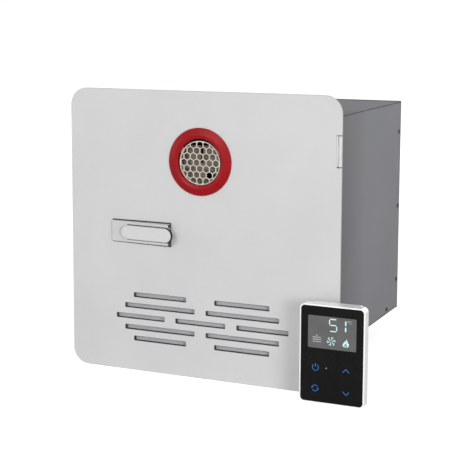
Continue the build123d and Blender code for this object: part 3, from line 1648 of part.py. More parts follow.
with BuildPart() as controller_bracket:
    with BuildSketch(front(panel_box_back)):
        with Locations((panel_x, panel_z)):
            RectangleRounded(bracket_plate_w, bracket_plate_h, bracket_plate_r)
            with GridLocations(bracket_hole_pitch, 0, 2, 1):
                Circle(bracket_hole_r, mode=Mode.SUBTRACT)
        with Locations((panel_x, panel_z - socket_drop)):
            Rectangle(socket_w + 2 * socket_room, socket_h + 2 * socket_room, mode=Mode.SUBTRACT)
    extrude(amount=-bracket_plate_t)
controller_bracket.part.label = "controller_bracket"
export_step(controller_bracket.part, "parts/controller_bracket.step")
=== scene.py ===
"""Dresses the recessed propane water heater: finishes, control panel signs, threads, light and camera."""

from __future__ import annotations

import logging
import math
from collections.abc import Callable, Iterable, Sequence
from dataclasses import dataclass, field
from enum import Enum

import bmesh
import bpy
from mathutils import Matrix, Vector

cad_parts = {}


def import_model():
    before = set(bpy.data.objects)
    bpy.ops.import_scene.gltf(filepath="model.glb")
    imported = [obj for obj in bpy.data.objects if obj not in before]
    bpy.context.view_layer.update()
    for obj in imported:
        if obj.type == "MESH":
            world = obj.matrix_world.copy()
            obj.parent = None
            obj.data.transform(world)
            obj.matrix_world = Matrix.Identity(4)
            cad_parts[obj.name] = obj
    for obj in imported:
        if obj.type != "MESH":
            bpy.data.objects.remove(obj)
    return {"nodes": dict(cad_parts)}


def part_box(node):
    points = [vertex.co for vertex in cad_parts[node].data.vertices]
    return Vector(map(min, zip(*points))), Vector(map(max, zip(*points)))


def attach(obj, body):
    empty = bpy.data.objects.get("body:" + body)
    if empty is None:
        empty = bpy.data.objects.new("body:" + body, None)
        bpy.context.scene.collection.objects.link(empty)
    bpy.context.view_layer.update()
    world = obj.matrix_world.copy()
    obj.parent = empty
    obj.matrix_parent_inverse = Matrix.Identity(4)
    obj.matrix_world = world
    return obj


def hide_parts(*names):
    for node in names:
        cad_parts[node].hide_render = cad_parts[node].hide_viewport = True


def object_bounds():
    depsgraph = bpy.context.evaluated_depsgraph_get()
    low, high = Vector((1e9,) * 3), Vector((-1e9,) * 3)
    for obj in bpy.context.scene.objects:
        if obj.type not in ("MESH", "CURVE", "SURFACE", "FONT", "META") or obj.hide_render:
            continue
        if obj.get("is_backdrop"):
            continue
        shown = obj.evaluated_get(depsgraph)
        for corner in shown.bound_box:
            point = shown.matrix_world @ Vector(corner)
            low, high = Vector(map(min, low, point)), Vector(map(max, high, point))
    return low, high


LOG = logging.getLogger("heater")

MM = 0.001
Point = tuple[float, float]
Colour = tuple[float, float, float]
Piece = bpy.types.Object
Mesh = bmesh.types.BMesh
Socket = bpy.types.NodeSocket


def linear(level: float) -> float:
    """Turns a display level from 0 to 255 into a linear one."""
    part = level / 255.0
    return part / 12.92 if part <= 0.04045 else ((part + 0.055) / 1.055) ** 2.4


def tint(red: float, green: float, blue: float) -> Colour:
    """Linear colour of a display colour given from 0 to 255."""
    return (linear(red), linear(green), linear(blue))


# ------------------------------------------------------------------ finishes
DUST = tint(176, 172, 164)
DUST_SCALE = 45.0
WEAR_SCALE = 160.0
BUMP_STRENGTH = 0.6
WHITE = (1.0, 1.0, 1.0, 1.0)


class Grain(Enum):
    """The fine relief that a way of making leaves on a surface."""

    POWDER = "powder coat"
    BRUSHED = "drawn along one axis"
    SPANGLE = "zinc flakes"
    MOULDED = "eroded mould"
    CAST = "die casting"
    FINE = "nearly smooth"


class Axis(Enum):
    """The row axis that a drawn grain runs along, as the stretch of the grain along X, Y and Z."""

    X = (0.04, 1.0, 1.0)
    Y = (1.0, 0.04, 1.0)
    Z = (1.0, 1.0, 0.04)


@dataclass(frozen=True)
class Finish:
    """One surface finish, which builds its own node material.

    Attributes:
        name: Name of the material.
        colour: Main colour, linear.
        mottle: Colour that drifts in over broad patches, linear.
        roughness: Lowest and highest roughness.
        grain: Kind of fine relief.
        grain_size: Size of the relief in metres.
        relief: Height of the relief in metres.
        metallic: Share of metal.
        specular: Specular level of the shader.
        coat: Share of a clear coat.
        wear: Colour that shows along worn edges, linear, or none.
        wear_width: Reach of the worn edge in metres.
        wear_share: How much of the edge is worn.
        dust: Share of pale dust that lies on upward faces.
        glow: Strength of the finish's own light, painted light where the part is no lamp.
        run: Axis that a drawn grain follows.
        patch: Size of the broad patches in metres.
        painted_shade: Colour of the painted shade that darkens the piece towards y 0, where the door and its
            frame shade the case, linear, or none.
        painted_shade_reach: Depth over which the painted shade fades out, in metres.
    """

    name: str
    colour: Colour
    mottle: Colour
    roughness: tuple[float, float]
    grain: Grain
    grain_size: float
    relief: float
    metallic: float = 0.0
    specular: float = 0.5
    coat: float = 0.0
    wear: Colour | None = None
    wear_width: float = 0.6 * MM
    wear_share: float = 0.5
    dust: float = 0.0
    glow: float = 0.0
    run: Axis = Axis.Z
    patch: float = 60 * MM
    painted_shade: Colour | None = None
    painted_shade_reach: float = 200 * MM

    def build(self) -> bpy.types.Material:
        """Makes the material, or gives the one already made.

        Returns:
            The material.
        """
        name = f"heater_{self.name}"
        known = bpy.data.materials.get(name)
        if known is not None:
            return known
        material = bpy.data.materials.new(name)
        material.use_nodes = True
        graph = Graph(material.node_tree)
        shader = graph.shader
        shader.inputs["Metallic"].default_value = self.metallic
        shader.inputs["Specular IOR Level"].default_value = self.specular
        shader.inputs["Coat Weight"].default_value = self.coat
        place = graph.add("ShaderNodeTexCoord").outputs["Object"]
        colour = self._colour(graph, place)
        graph.join(colour, shader.inputs["Base Color"])
        blotch = graph.noise(place, 2.2 / self.patch, detail=5.0, rough=0.6)
        graph.join(graph.span(blotch, 0.3, 0.7, *self.roughness), shader.inputs["Roughness"])
        bump = graph.add("ShaderNodeBump")
        bump.inputs["Strength"].default_value = BUMP_STRENGTH
        bump.inputs["Distance"].default_value = self.relief
        graph.join(self._fine(graph, place), bump.inputs["Height"])
        graph.join(bump.outputs["Normal"], shader.inputs["Normal"])
        if self.glow > 0.0:
            graph.join(colour, shader.inputs["Emission Color"])
            shader.inputs["Emission Strength"].default_value = self.glow
        return material

    def _colour(self, graph: Graph, place: Socket) -> Socket:
        """Main colour with its mottle, painted shade towards y 0, dust and wear.

        Args:
            graph: The material's graph.
            place: Place on the piece.

        Returns:
            The colour.
        """
        patches = graph.noise(place, 1.0 / self.patch, detail=4.0, rough=0.55)
        colour = graph.mix(graph.span(patches, 0.35, 0.65), self.colour, self.mottle)
        # Painted shade: the colour darkens towards y 0, where the door and its frame shade the case.
        if self.painted_shade is not None:
            near = graph.span(graph.depth(place), 0.0, self.painted_shade_reach, 1.0, 0.0)
            colour = graph.mix(near, colour, self.painted_shade)
        if self.dust > 0.0:
            up = graph.span(graph.facing_up(), 0.55, 1.0, 0.0, self.dust)
            cloud = graph.span(graph.noise(place, DUST_SCALE, detail=5.0, rough=0.65), 0.4, 0.7)
            colour = graph.mix(graph.multiply(up, cloud), colour, DUST)
        if self.wear is not None:
            spots = graph.noise(place, WEAR_SCALE, detail=4.0, rough=0.7)
            share = graph.span(spots, 0.62 - 0.3 * self.wear_share, 0.72)
            colour = graph.mix(graph.multiply(graph.edge(self.wear_width), share), colour, self.wear)
        return colour

    def _fine(self, graph: Graph, place: Socket) -> Socket:
        """Height of the fine relief.

        Args:
            graph: The material's graph.
            place: Place on the piece.

        Returns:
            The height, from 0 to 1.
        """
        scale = 1.0 / self.grain_size
        if self.grain is Grain.BRUSHED:
            return graph.noise(graph.stretch(place, self.run.value), scale, detail=3.0, rough=0.7)
        if self.grain is Grain.SPANGLE:
            speckle = graph.noise(place, scale * 3.0, detail=3.0, rough=0.6)
            return graph.blend_values(graph.cells(place, scale), speckle, share=0.5)
        if self.grain is Grain.CAST:
            return graph.noise(place, scale, detail=6.0, rough=0.75)
        if self.grain is Grain.MOULDED:
            pits = graph.cells(place, scale * 0.8)
            return graph.blend_values(graph.noise(place, scale, detail=2.0, rough=0.5), pits, share=0.35)
        return graph.noise(place, scale, detail=3.0 if self.grain is Grain.POWDER else 1.5, rough=0.55)


class Graph:
    """Small helper that adds and joins the nodes of one material."""

    def __init__(self, tree: bpy.types.NodeTree) -> None:
        """Keeps the material's node tree and finds its shader."""
        self.tree = tree
        self.shader = next(n for n in tree.nodes if n.type == "BSDF_PRINCIPLED")

    def add(self, kind: str) -> bpy.types.Node:
        """Adds a node of the given kind."""
        return self.tree.nodes.new(kind)

    def join(self, source: Socket, target: Socket) -> None:
        """Links two sockets."""
        self.tree.links.new(source, target)

    def noise(self, place: Socket, scale: float, detail: float, rough: float) -> Socket:
        """Adds soft noise.

        Args:
            place: Place on the piece.
            scale: Turns in a metre.
            detail: How many finer layers it has.
            rough: Weight of the finer layers.

        Returns:
            The noise, from 0 to 1.
        """
        node = self.add("ShaderNodeTexNoise")
        self.join(place, node.inputs["Vector"])
        node.inputs["Scale"].default_value = scale
        node.inputs["Detail"].default_value = detail
        node.inputs["Roughness"].default_value = rough
        return node.outputs["Fac"]

    def cells(self, place: Socket, scale: float) -> Socket:
        """Adds rounded cells.

        Args:
            place: Place on the piece.
            scale: Cells in a metre.

        Returns:
            The distance from the middle of the cell.
        """
        node = self.add("ShaderNodeTexVoronoi")
        self.join(place, node.inputs["Vector"])
        node.inputs["Scale"].default_value = scale
        return node.outputs["Distance"]

    def stretch(self, place: Socket, scale: Sequence[float]) -> Socket:
        """Scales the place along each axis.

        Args:
            place: Place on the piece.
            scale: The three scales.

        Returns:
            The stretched place.
        """
        node = self.add("ShaderNodeMapping")
        self.join(place, node.inputs["Vector"])
        node.inputs["Scale"].default_value = tuple(scale)
        return node.outputs["Vector"]

    def span(
        self, value: Socket, low: float, high: float, to_low: float = 0.0, to_high: float = 1.0
    ) -> Socket:
        """Maps one span of values to another, clamped.

        Args:
            value: The value.
            low: Value that gives to_low.
            high: Value that gives to_high.
            to_low: First end of the new span.
            to_high: Second end of the new span.

        Returns:
            The mapped value.
        """
        node = self.add("ShaderNodeMapRange")
        self.join(value, node.inputs["Value"])
        ends = {"From Min": low, "From Max": high, "To Min": to_low, "To Max": to_high}
        for name, number in ends.items():
            node.inputs[name].default_value = number
        return node.outputs["Result"]

    def multiply(self, first: Socket, second: Socket) -> Socket:
        """Multiplies two values.

        Args:
            first: One value.
            second: The other value.

        Returns:
            Their product.
        """
        node = self.add("ShaderNodeMath")
        node.operation = "MULTIPLY"
        self.join(first, node.inputs[0])
        self.join(second, node.inputs[1])
        return node.outputs[0]

    def blend_values(self, first: Socket, second: Socket, share: float) -> Socket:
        """Blends two values.

        Args:
            first: One value.
            second: The other value.
            share: Share of the second value.

        Returns:
            The blend.
        """
        node = self.add("ShaderNodeMix")
        node.data_type = "FLOAT"
        node.inputs[0].default_value = share
        self.join(first, node.inputs[2])
        self.join(second, node.inputs[3])
        return node.outputs[0]

    def mix(self, share: Socket, first: Socket | Colour, second: Socket | Colour) -> Socket:
        """Blends two colours.

        Args:
            share: Share of the second colour.
            first: One colour.
            second: The other colour.

        Returns:
            The blend.
        """
        node = self.add("ShaderNodeMix")
        node.data_type = "RGBA"
        self.join(share, node.inputs[0])
        for colour, socket in ((first, node.inputs[6]), (second, node.inputs[7])):
            if isinstance(colour, bpy.types.NodeSocket):
                self.join(colour, socket)
            else:
                socket.default_value = (*colour, 1.0)
        return node.outputs[2]

    def edge(self, width: float) -> Socket:
        """Finds sharp edges.

        Args:
            width: Reach of an edge in metres.

        Returns:
            A value that rises to 1 towards the edge.
        """
        bevel = self.add("ShaderNodeBevel")
        bevel.samples = 4
        bevel.inputs["Radius"].default_value = width
        flat = self.add("ShaderNodeNewGeometry")
        turn = self.add("ShaderNodeVectorMath")
        turn.operation = "DOT_PRODUCT"
        self.join(bevel.outputs["Normal"], turn.inputs[0])
        self.join(flat.outputs["Normal"], turn.inputs[1])
        return self.span(turn.outputs["Value"], 0.99, 0.86)

    def depth(self, place: Socket) -> Socket:
        """Gives the y of a place.

        Args:
            place: Place on the piece.

        Returns:
            Its y.
        """
        parts = self.add("ShaderNodeSeparateXYZ")
        self.join(place, parts.inputs[0])
        return parts.outputs["Y"]

    def facing_up(self) -> Socket:
        """Gives the upward part of the surface's direction.

        Returns:
            That part, from -1 to 1.
        """
        flat = self.add("ShaderNodeNewGeometry")
        parts = self.add("ShaderNodeSeparateXYZ")
        self.join(flat.outputs["Normal"], parts.inputs[0])
        return parts.outputs["Z"]


POWDER_WHITE = Finish(
    "powder_white", tint(214, 214, 214), tint(210, 210, 211), (0.38, 0.5), Grain.POWDER, 1.1 * MM, 0.03 * MM,
    specular=0.25, wear=tint(168, 168, 168), wear_width=0.4 * MM, wear_share=0.2, patch=90 * MM,
)
FRAME_WHITE = Finish(
    "frame_white", tint(196, 197, 198), tint(184, 185, 186), (0.4, 0.55), Grain.POWDER, 1.1 * MM, 0.03 * MM,
    wear=tint(120, 118, 115), wear_share=0.5, dust=0.35,
)
LEVER_WHITE = Finish(
    "lever_white", tint(218, 218, 218), tint(214, 214, 214), (0.4, 0.5), Grain.MOULDED, 0.5 * MM, 0.02 * MM,
    specular=0.25, wear=tint(190, 189, 186), wear_width=0.2 * MM, wear_share=0.2, patch=30 * MM,
)
# The hinges take a lighter copy of the white paint: painted light that brightens the barrels in the door's
# notch.
LIT_HINGE_WHITE = Finish(
    "hinge_white_painted_light", tint(222, 222, 222), tint(216, 216, 216), (0.3, 0.42), Grain.POWDER, 0.9 * MM, 0.02 * MM,
    wear=tint(150, 148, 145), wear_width=0.2 * MM, wear_share=0.3, patch=20 * MM,
)
LATCH_WHITE = Finish(
    "latch_white", tint(210, 210, 210), tint(206, 206, 206), (0.42, 0.55), Grain.MOULDED, 0.5 * MM, 0.02 * MM,
    specular=0.25, wear=tint(176, 175, 172), wear_width=0.3 * MM, wear_share=0.3, patch=30 * MM,
)
# The case grey darkens towards the door as painted shade, where the door's overhang shades the case.
CASE_GREY = Finish(
    "case_grey", tint(150, 150, 154), tint(146, 147, 151), (0.6, 0.7), Grain.SPANGLE, 3.0 * MM, 0.01 * MM,
    specular=0.08, wear=tint(165, 165, 165), wear_width=0.4 * MM, wear_share=0.4, patch=160 * MM,
    painted_shade=tint(100, 101, 103),
)
ZINC = Finish(
    "zinc_plate", tint(168, 170, 172), tint(150, 152, 155), (0.32, 0.5), Grain.SPANGLE, 6.0 * MM, 0.02 * MM,
    metallic=0.7, wear=tint(190, 190, 190), wear_share=0.5, dust=0.2, patch=70 * MM,
)
BAFFLE_GREY = Finish(
    "baffle_grey", tint(200, 200, 201), tint(190, 190, 192), (0.4, 0.55), Grain.POWDER, 1.2 * MM, 0.03 * MM,
    metallic=0.1, dust=0.3, patch=50 * MM,
)
SCREW_DARK = Finish(
    "screw_dark", tint(66, 66, 70), tint(52, 52, 56), (0.3, 0.45), Grain.BRUSHED, 0.3 * MM, 0.01 * MM,
    metallic=0.9, wear=tint(140, 140, 140), wear_width=0.3 * MM, wear_share=0.8, patch=10 * MM,
)
EXHAUST_RED = Finish(
    "exhaust_red", tint(160, 12, 22), tint(150, 8, 18), (0.3, 0.4), Grain.POWDER, 1.2 * MM, 0.03 * MM,
    specular=0.2, wear=tint(176, 60, 64), wear_width=0.3 * MM, wear_share=0.15, patch=30 * MM,
)
GRILLE_STEEL = Finish(
    "grille_steel", tint(226, 220, 209), tint(214, 207, 194), (0.34, 0.48),
    Grain.BRUSHED, 0.4 * MM, 0.01 * MM, run=Axis.X, patch=20 * MM,
    wear=tint(240, 232, 220), wear_width=0.2 * MM, wear_share=0.6,
)
FLUE_STEEL = Finish(
    "flue_steel", tint(138, 129, 116), tint(92, 84, 76), (0.4, 0.6), Grain.BRUSHED, 0.8 * MM, 0.02 * MM,
    metallic=0.2, specular=0.3, patch=5 * MM, run=Axis.X,
)
RUBBER = Finish(
    "black_rubber", tint(38, 38, 39), tint(50, 50, 50), (0.7, 0.9), Grain.CAST, 0.7 * MM, 0.04 * MM,
    specular=0.25, dust=0.3, patch=20 * MM,
)
MICA = Finish(
    "mica_window", tint(188, 184, 160), tint(160, 154, 128), (0.12, 0.3), Grain.SPANGLE, 4.0 * MM, 0.01 * MM,
    specular=0.6, coat=0.4, patch=10 * MM,
)
COPPER = Finish(
    "copper", tint(200, 128, 92), tint(158, 92, 62), (0.25, 0.5), Grain.BRUSHED, 0.6 * MM, 0.01 * MM,
    metallic=1.0, patch=20 * MM, run=Axis.Y,
)
CERAMIC = Finish(
    "glazed_ceramic", tint(228, 226, 218), tint(214, 210, 198), (0.12, 0.25), Grain.FINE, 2.0 * MM, 0.01 * MM,
    coat=0.5, patch=10 * MM,
)
CAST_ALLOY = Finish(
    "cast_alloy", tint(170, 171, 173), tint(150, 151, 154), (0.4, 0.6), Grain.CAST, 0.9 * MM, 0.05 * MM,
    metallic=0.85, wear=tint(215, 215, 215), wear_share=0.5, patch=30 * MM,
)
BRASS = Finish(
    "machined_brass", tint(196, 164, 96), tint(166, 132, 70), (0.22, 0.38),
    Grain.BRUSHED, 0.3 * MM, 0.01 * MM, metallic=1.0, run=Axis.X, patch=10 * MM,
    wear=tint(230, 206, 150), wear_width=0.3 * MM, wear_share=0.8,
)
# Dark grey of the pieces that paint shade into the door's slots and round the latch.
SHADE_GREY = Finish(
    "painted_shade_grey", tint(72, 72, 74), tint(80, 80, 82), (0.6, 0.8), Grain.CAST, 0.7 * MM, 0.03 * MM,
    specular=0.2, patch=20 * MM,
)
SEALANT = Finish(
    "seam_sealant", tint(74, 74, 78), tint(62, 62, 66), (0.55, 0.7), Grain.CAST, 0.9 * MM, 0.03 * MM,
    specular=0.3, patch=15 * MM,
)
BLACK_PLASTIC = Finish(
    "black_plastic", tint(36, 36, 38), tint(46, 46, 48), (0.4, 0.6), Grain.MOULDED, 0.6 * MM, 0.03 * MM,
    specular=0.4, patch=20 * MM, dust=0.1,
)
ROCKER_BLACK = Finish(
    "rocker_black", tint(26, 26, 28), tint(34, 34, 36), (0.18, 0.3), Grain.FINE, 1.0 * MM, 0.01 * MM,
    coat=0.2, patch=10 * MM,
)
ROTOR_WHITE = Finish(
    "rotor_white", tint(222, 222, 220), tint(208, 208, 204), (0.35, 0.5), Grain.MOULDED, 0.6 * MM, 0.02 * MM,
    patch=10 * MM,
)
BOARD_GREEN = Finish(
    "board_green", tint(26, 98, 58), tint(18, 78, 46), (0.22, 0.36), Grain.FINE, 0.8 * MM, 0.02 * MM,
    coat=0.3, patch=8 * MM,
)
# The glow is painted light: the white shell gives off light of its own, though it is no lamp.
PANEL_WHITE = Finish(
    "panel_white", tint(250, 250, 250), tint(247, 247, 247), (0.2, 0.3), Grain.FINE, 1.6 * MM, 0.004 * MM,
    coat=1.0, glow=0.12, wear=tint(236, 235, 232), wear_width=0.2 * MM, wear_share=0.1, patch=40 * MM,
)
PANEL_BLACK = Finish(
    "panel_black", tint(24, 24, 24), tint(27, 27, 27), (0.22, 0.3), Grain.FINE, 2.0 * MM, 0.004 * MM,
    specular=0.08, patch=30 * MM,
)
DISPLAY_GREY = Finish(
    "display_grey", tint(108, 108, 109), tint(100, 100, 101), (0.3, 0.42), Grain.FINE, 0.4 * MM, 0.004 * MM,
    specular=0.2, patch=20 * MM,
)
SEGMENT_PALE = Finish(
    "segment_pale", tint(206, 240, 240), tint(190, 226, 228), (0.4, 0.5), Grain.FINE, 0.5 * MM, 0.003 * MM,
    specular=0.1, glow=0.2, patch=6 * MM,
)
SIGN_DIM = Finish(
    "sign_dim", tint(184, 196, 198), tint(170, 182, 184), (0.4, 0.5), Grain.FINE, 0.5 * MM, 0.003 * MM,
    specular=0.2, patch=6 * MM,
)
KEY_BLUE = Finish(
    "key_blue", tint(66, 132, 208), tint(56, 116, 194), (0.35, 0.45), Grain.FINE, 0.5 * MM, 0.003 * MM,
    specular=0.1, glow=0.12, patch=6 * MM,
)


# ------------------------------------------------------------------ mesh helpers
def mesh_object(name: str, mesh: Mesh, smooth_angle: float = 35.0) -> Piece:
    """Turns a bmesh into a linked object, shaded smooth but for its sharp edges.

    Args:
        name: Name of the piece.
        mesh: The finished bmesh, which is freed.
        smooth_angle: Edges sharper than this many degrees stay sharp.

    Returns:
        The new object.
    """
    bmesh.ops.remove_doubles(mesh, verts=mesh.verts, dist=1e-7)
    bmesh.ops.recalc_face_normals(mesh, faces=mesh.faces)
    data = bpy.data.meshes.new(name)
    mesh.to_mesh(data)
    mesh.free()
    data.shade_smooth()
    data.set_sharp_from_angle(angle=math.radians(smooth_angle))
    made = bpy.data.objects.new(name, data)
    bpy.context.scene.collection.objects.link(made)
    return made


def dress(piece: Piece, finish: Finish) -> None:
    """Gives every slot of a piece one finish."""
    piece.data.materials.clear()
    piece.data.materials.append(finish.build())


def fit_out(piece: Piece, finish: Finish, body: str) -> None:
    """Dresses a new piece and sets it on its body.

    Args:
        piece: The new piece, in place.
        finish: Its finish.
        body: The CAD body that it moves with.
    """
    dress(piece, finish)
    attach(piece, body)
    LOG.info("made %s on %s", piece.name, body)


def loft(mesh: Mesh, rings: Sequence[Sequence[Vector]], closed: bool = False) -> None:
    """Joins rings of points, each as long as the next, into a watertight skin.

    Args:
        mesh: The bmesh that takes it.
        rings: The rings in order.
        closed: Whether the last ring joins the first. Otherwise a face closes each end.
    """
    rows = [[mesh.verts.new(p) for p in ring] for ring in rings]
    pairs = list(zip(rows, rows[1:]))
    if closed:
        pairs.append((rows[-1], rows[0]))
    else:
        mesh.faces.new(rows[0][::-1])
        mesh.faces.new(rows[-1])
    count = len(rows[0])
    for one, two in pairs:
        for i in range(count):
            j = (i + 1) % count
            mesh.faces.new((one[i], one[j], two[j], two[i]))


def upright(outline: Iterable[Point], y: float) -> list[Vector]:
    """Stands an outline of (x, z) points up at a y."""
    return [Vector((x, y, z)) for x, z in outline]


def plate(mesh: Mesh, outline: Sequence[Point], front: float, thick: float) -> None:
    """Adds a flat plate that looks towards -Y.

    Args:
        mesh: The bmesh that takes it.
        outline: Corners as (x, z) in metres.
        front: The y of its front face.
        thick: Its thickness towards +Y.
    """
    loft(mesh, [upright(outline, front), upright(outline, front + thick)])


def frame_plate(
    mesh: Mesh, outer: Sequence[Point], inner: Sequence[Point], front: float, thick: float
) -> None:
    """Adds a flat ring between two outlines of as many corners each.

    Args:
        mesh: The bmesh that takes it.
        outer: Outer corners as (x, z) in metres.
        inner: Inner corners in the same order.
        front: The y of its front face.
        thick: Its thickness towards +Y.
    """
    rear = front + thick
    rings = [upright(outer, rear), upright(outer, front), upright(inner, front), upright(inner, rear)]
    loft(mesh, rings, closed=True)


def stroke(mesh: Mesh, path: Sequence[Point], width: float, front: float, thick: float) -> None:
    """Adds a raised line of even width along an open path.

    Args:
        mesh: The bmesh that takes it.
        path: Points as (x, z) in metres.
        width: Width of the line.
        front: The y of its front face.
        thick: Its thickness.
    """
    sharpest = 0.35
    left: list[Point] = []
    right: list[Point] = []
    last = len(path) - 1
    for i, (x, z) in enumerate(path):
        before = Vector(path[max(i - 1, 0)])
        here = Vector((x, z))
        after = Vector(path[min(i + 1, last)])
        into = (here - before).normalized() if i > 0 else (after - here).normalized()
        out = (after - here).normalized() if i < last else into
        along = (into + out).normalized()
        side = Vector((-along.y, along.x))
        reach = width / 2 / max(sharpest, side.dot(Vector((-into.y, into.x))))
        left.append((x + side.x * reach, z + side.y * reach))
        right.append((x - side.x * reach, z - side.y * reach))
    plate(mesh, left + right[::-1], front, thick)


def even(start: float, end: float, steps: int) -> list[float]:
    """Even values from start to end."""
    return [start + (end - start) * i / steps for i in range(steps + 1)]


def arc(centre: Point, radius: float, start: float, end: float, steps: int = 24) -> list[Point]:
    """Points along an arc, with its angles in degrees from +X towards +Z."""
    turns = [math.radians(t) for t in even(start, end, steps)]
    return [(centre[0] + radius * math.cos(t), centre[1] + radius * math.sin(t)) for t in turns]


def bead(mesh: Mesh, start: Vector, end: Vector, across: Vector, out: Vector, steps: int = 8) -> None:
    """Adds a half-round bead that lies on a face.

    Args:
        mesh: The bmesh that takes it.
        start: Middle of its foot at one end.
        end: Middle of its foot at the other end.
        across: Half its width, as a vector in the face.
        out: Its height, as a vector out of the face.
        steps: Facets of its round.
    """
    section = [across * math.cos(t) + out * math.sin(t) for t in even(0.0, math.pi, steps)]
    loft(mesh, [[place + p for p in section] for place in (start, end)])


# ------------------------------------------------------------------ sub-assemblies
@dataclass(frozen=True)
class Shell:
    """The CAD nodes that keep their own shape and only take a finish.

    Attributes:
        groups: Each finish with the nodes that take it.
    """

    groups: tuple[tuple[Finish, tuple[str, ...]], ...] = (
        (POWDER_WHITE, ("door_panel",)),
        (FRAME_WHITE, ("mounting_frame",)),
        (LIT_HINGE_WHITE, ("frame_hinge_leaves", "door_hinge_leaves")),
        (LATCH_WHITE, ("latch_base",)),
        (LEVER_WHITE, ("latch_lever",)),
        (CASE_GREY, ("side_panel_left", "side_panel_right", "top_panel", "bottom_panel", "rear_panel")),
        (ZINC, ("inner_cover", "cover_brackets", "latch_striker", "controller_bracket")),
        (BAFFLE_GREY, ("rain_baffle",)),
        (SCREW_DARK, ("panel_screws", "hinge_pins", "latch_pin", "latch_screws")),
        (EXHAUST_RED, ("exhaust_ring",)),
        (GRILLE_STEEL, ("exhaust_grille",)),
        (FLUE_STEEL, ("exhaust_duct", "flue_divider", "flue_hood")),
        (FLUE_STEEL, ("combustion_chamber", "burner_tray", "burner_bars")),
        (RUBBER, ("door_gasket", "duct_seal", "rear_gland")),
        (MICA, ("sight_glass",)),
        (COPPER, ("exchanger_fins", "exchanger_shell", "exchanger_tubes", "water_pipes")),
        (CERAMIC, ("igniter_electrodes",)),
        (CAST_ALLOY, ("gas_manifold", "gas_valve", "gas_pipe", "blower_housing")),
        (BRASS, ("gas_inlet_fitting", "water_inlet_fitting", "water_outlet_fitting")),
        (BLACK_PLASTIC, ("flow_sensor", "control_box", "control_lid", "power_switch")),
        (BLACK_PLASTIC, ("blower_impeller", "blower_motor")),
        (ROCKER_BLACK, ("power_rocker",)),
        (ROTOR_WHITE, ("flow_rotor",)),
        (BOARD_GREEN, ("control_board", "controller_board")),
        (PANEL_WHITE, ("controller_shell", "controller_back")),
        (PANEL_BLACK, ("controller_glass",)),
        (DISPLAY_GREY, ("controller_display",)),
    )

    def build(self, nodes: dict[str, Piece]) -> None:
        """Gives each CAD node its finish.

        Args:
            nodes: The CAD nodes by name.
        """
        finish_of = {name: finish for finish, names in self.groups for name in names}
        for name, node in nodes.items():
            dress(node, finish_of[name])
            LOG.info("finished %s", name)


@dataclass(frozen=True)
class Thread:
    """A male pipe thread round a way through.

    Attributes:
        outer_r: Outside radius of the thread.
        bore_r: Radius of the way through.
        pitch: Pitch of the thread.
        depth: Depth of the thread.
    """

    outer_r: float
    bore_r: float
    pitch: float
    depth: float


WATER_THREAD = Thread(10.4 * MM, 7.0 * MM, 1.81 * MM, 1.1 * MM)
GAS_THREAD = Thread(7.9 * MM, 5.0 * MM, 1.41 * MM, 0.9 * MM)


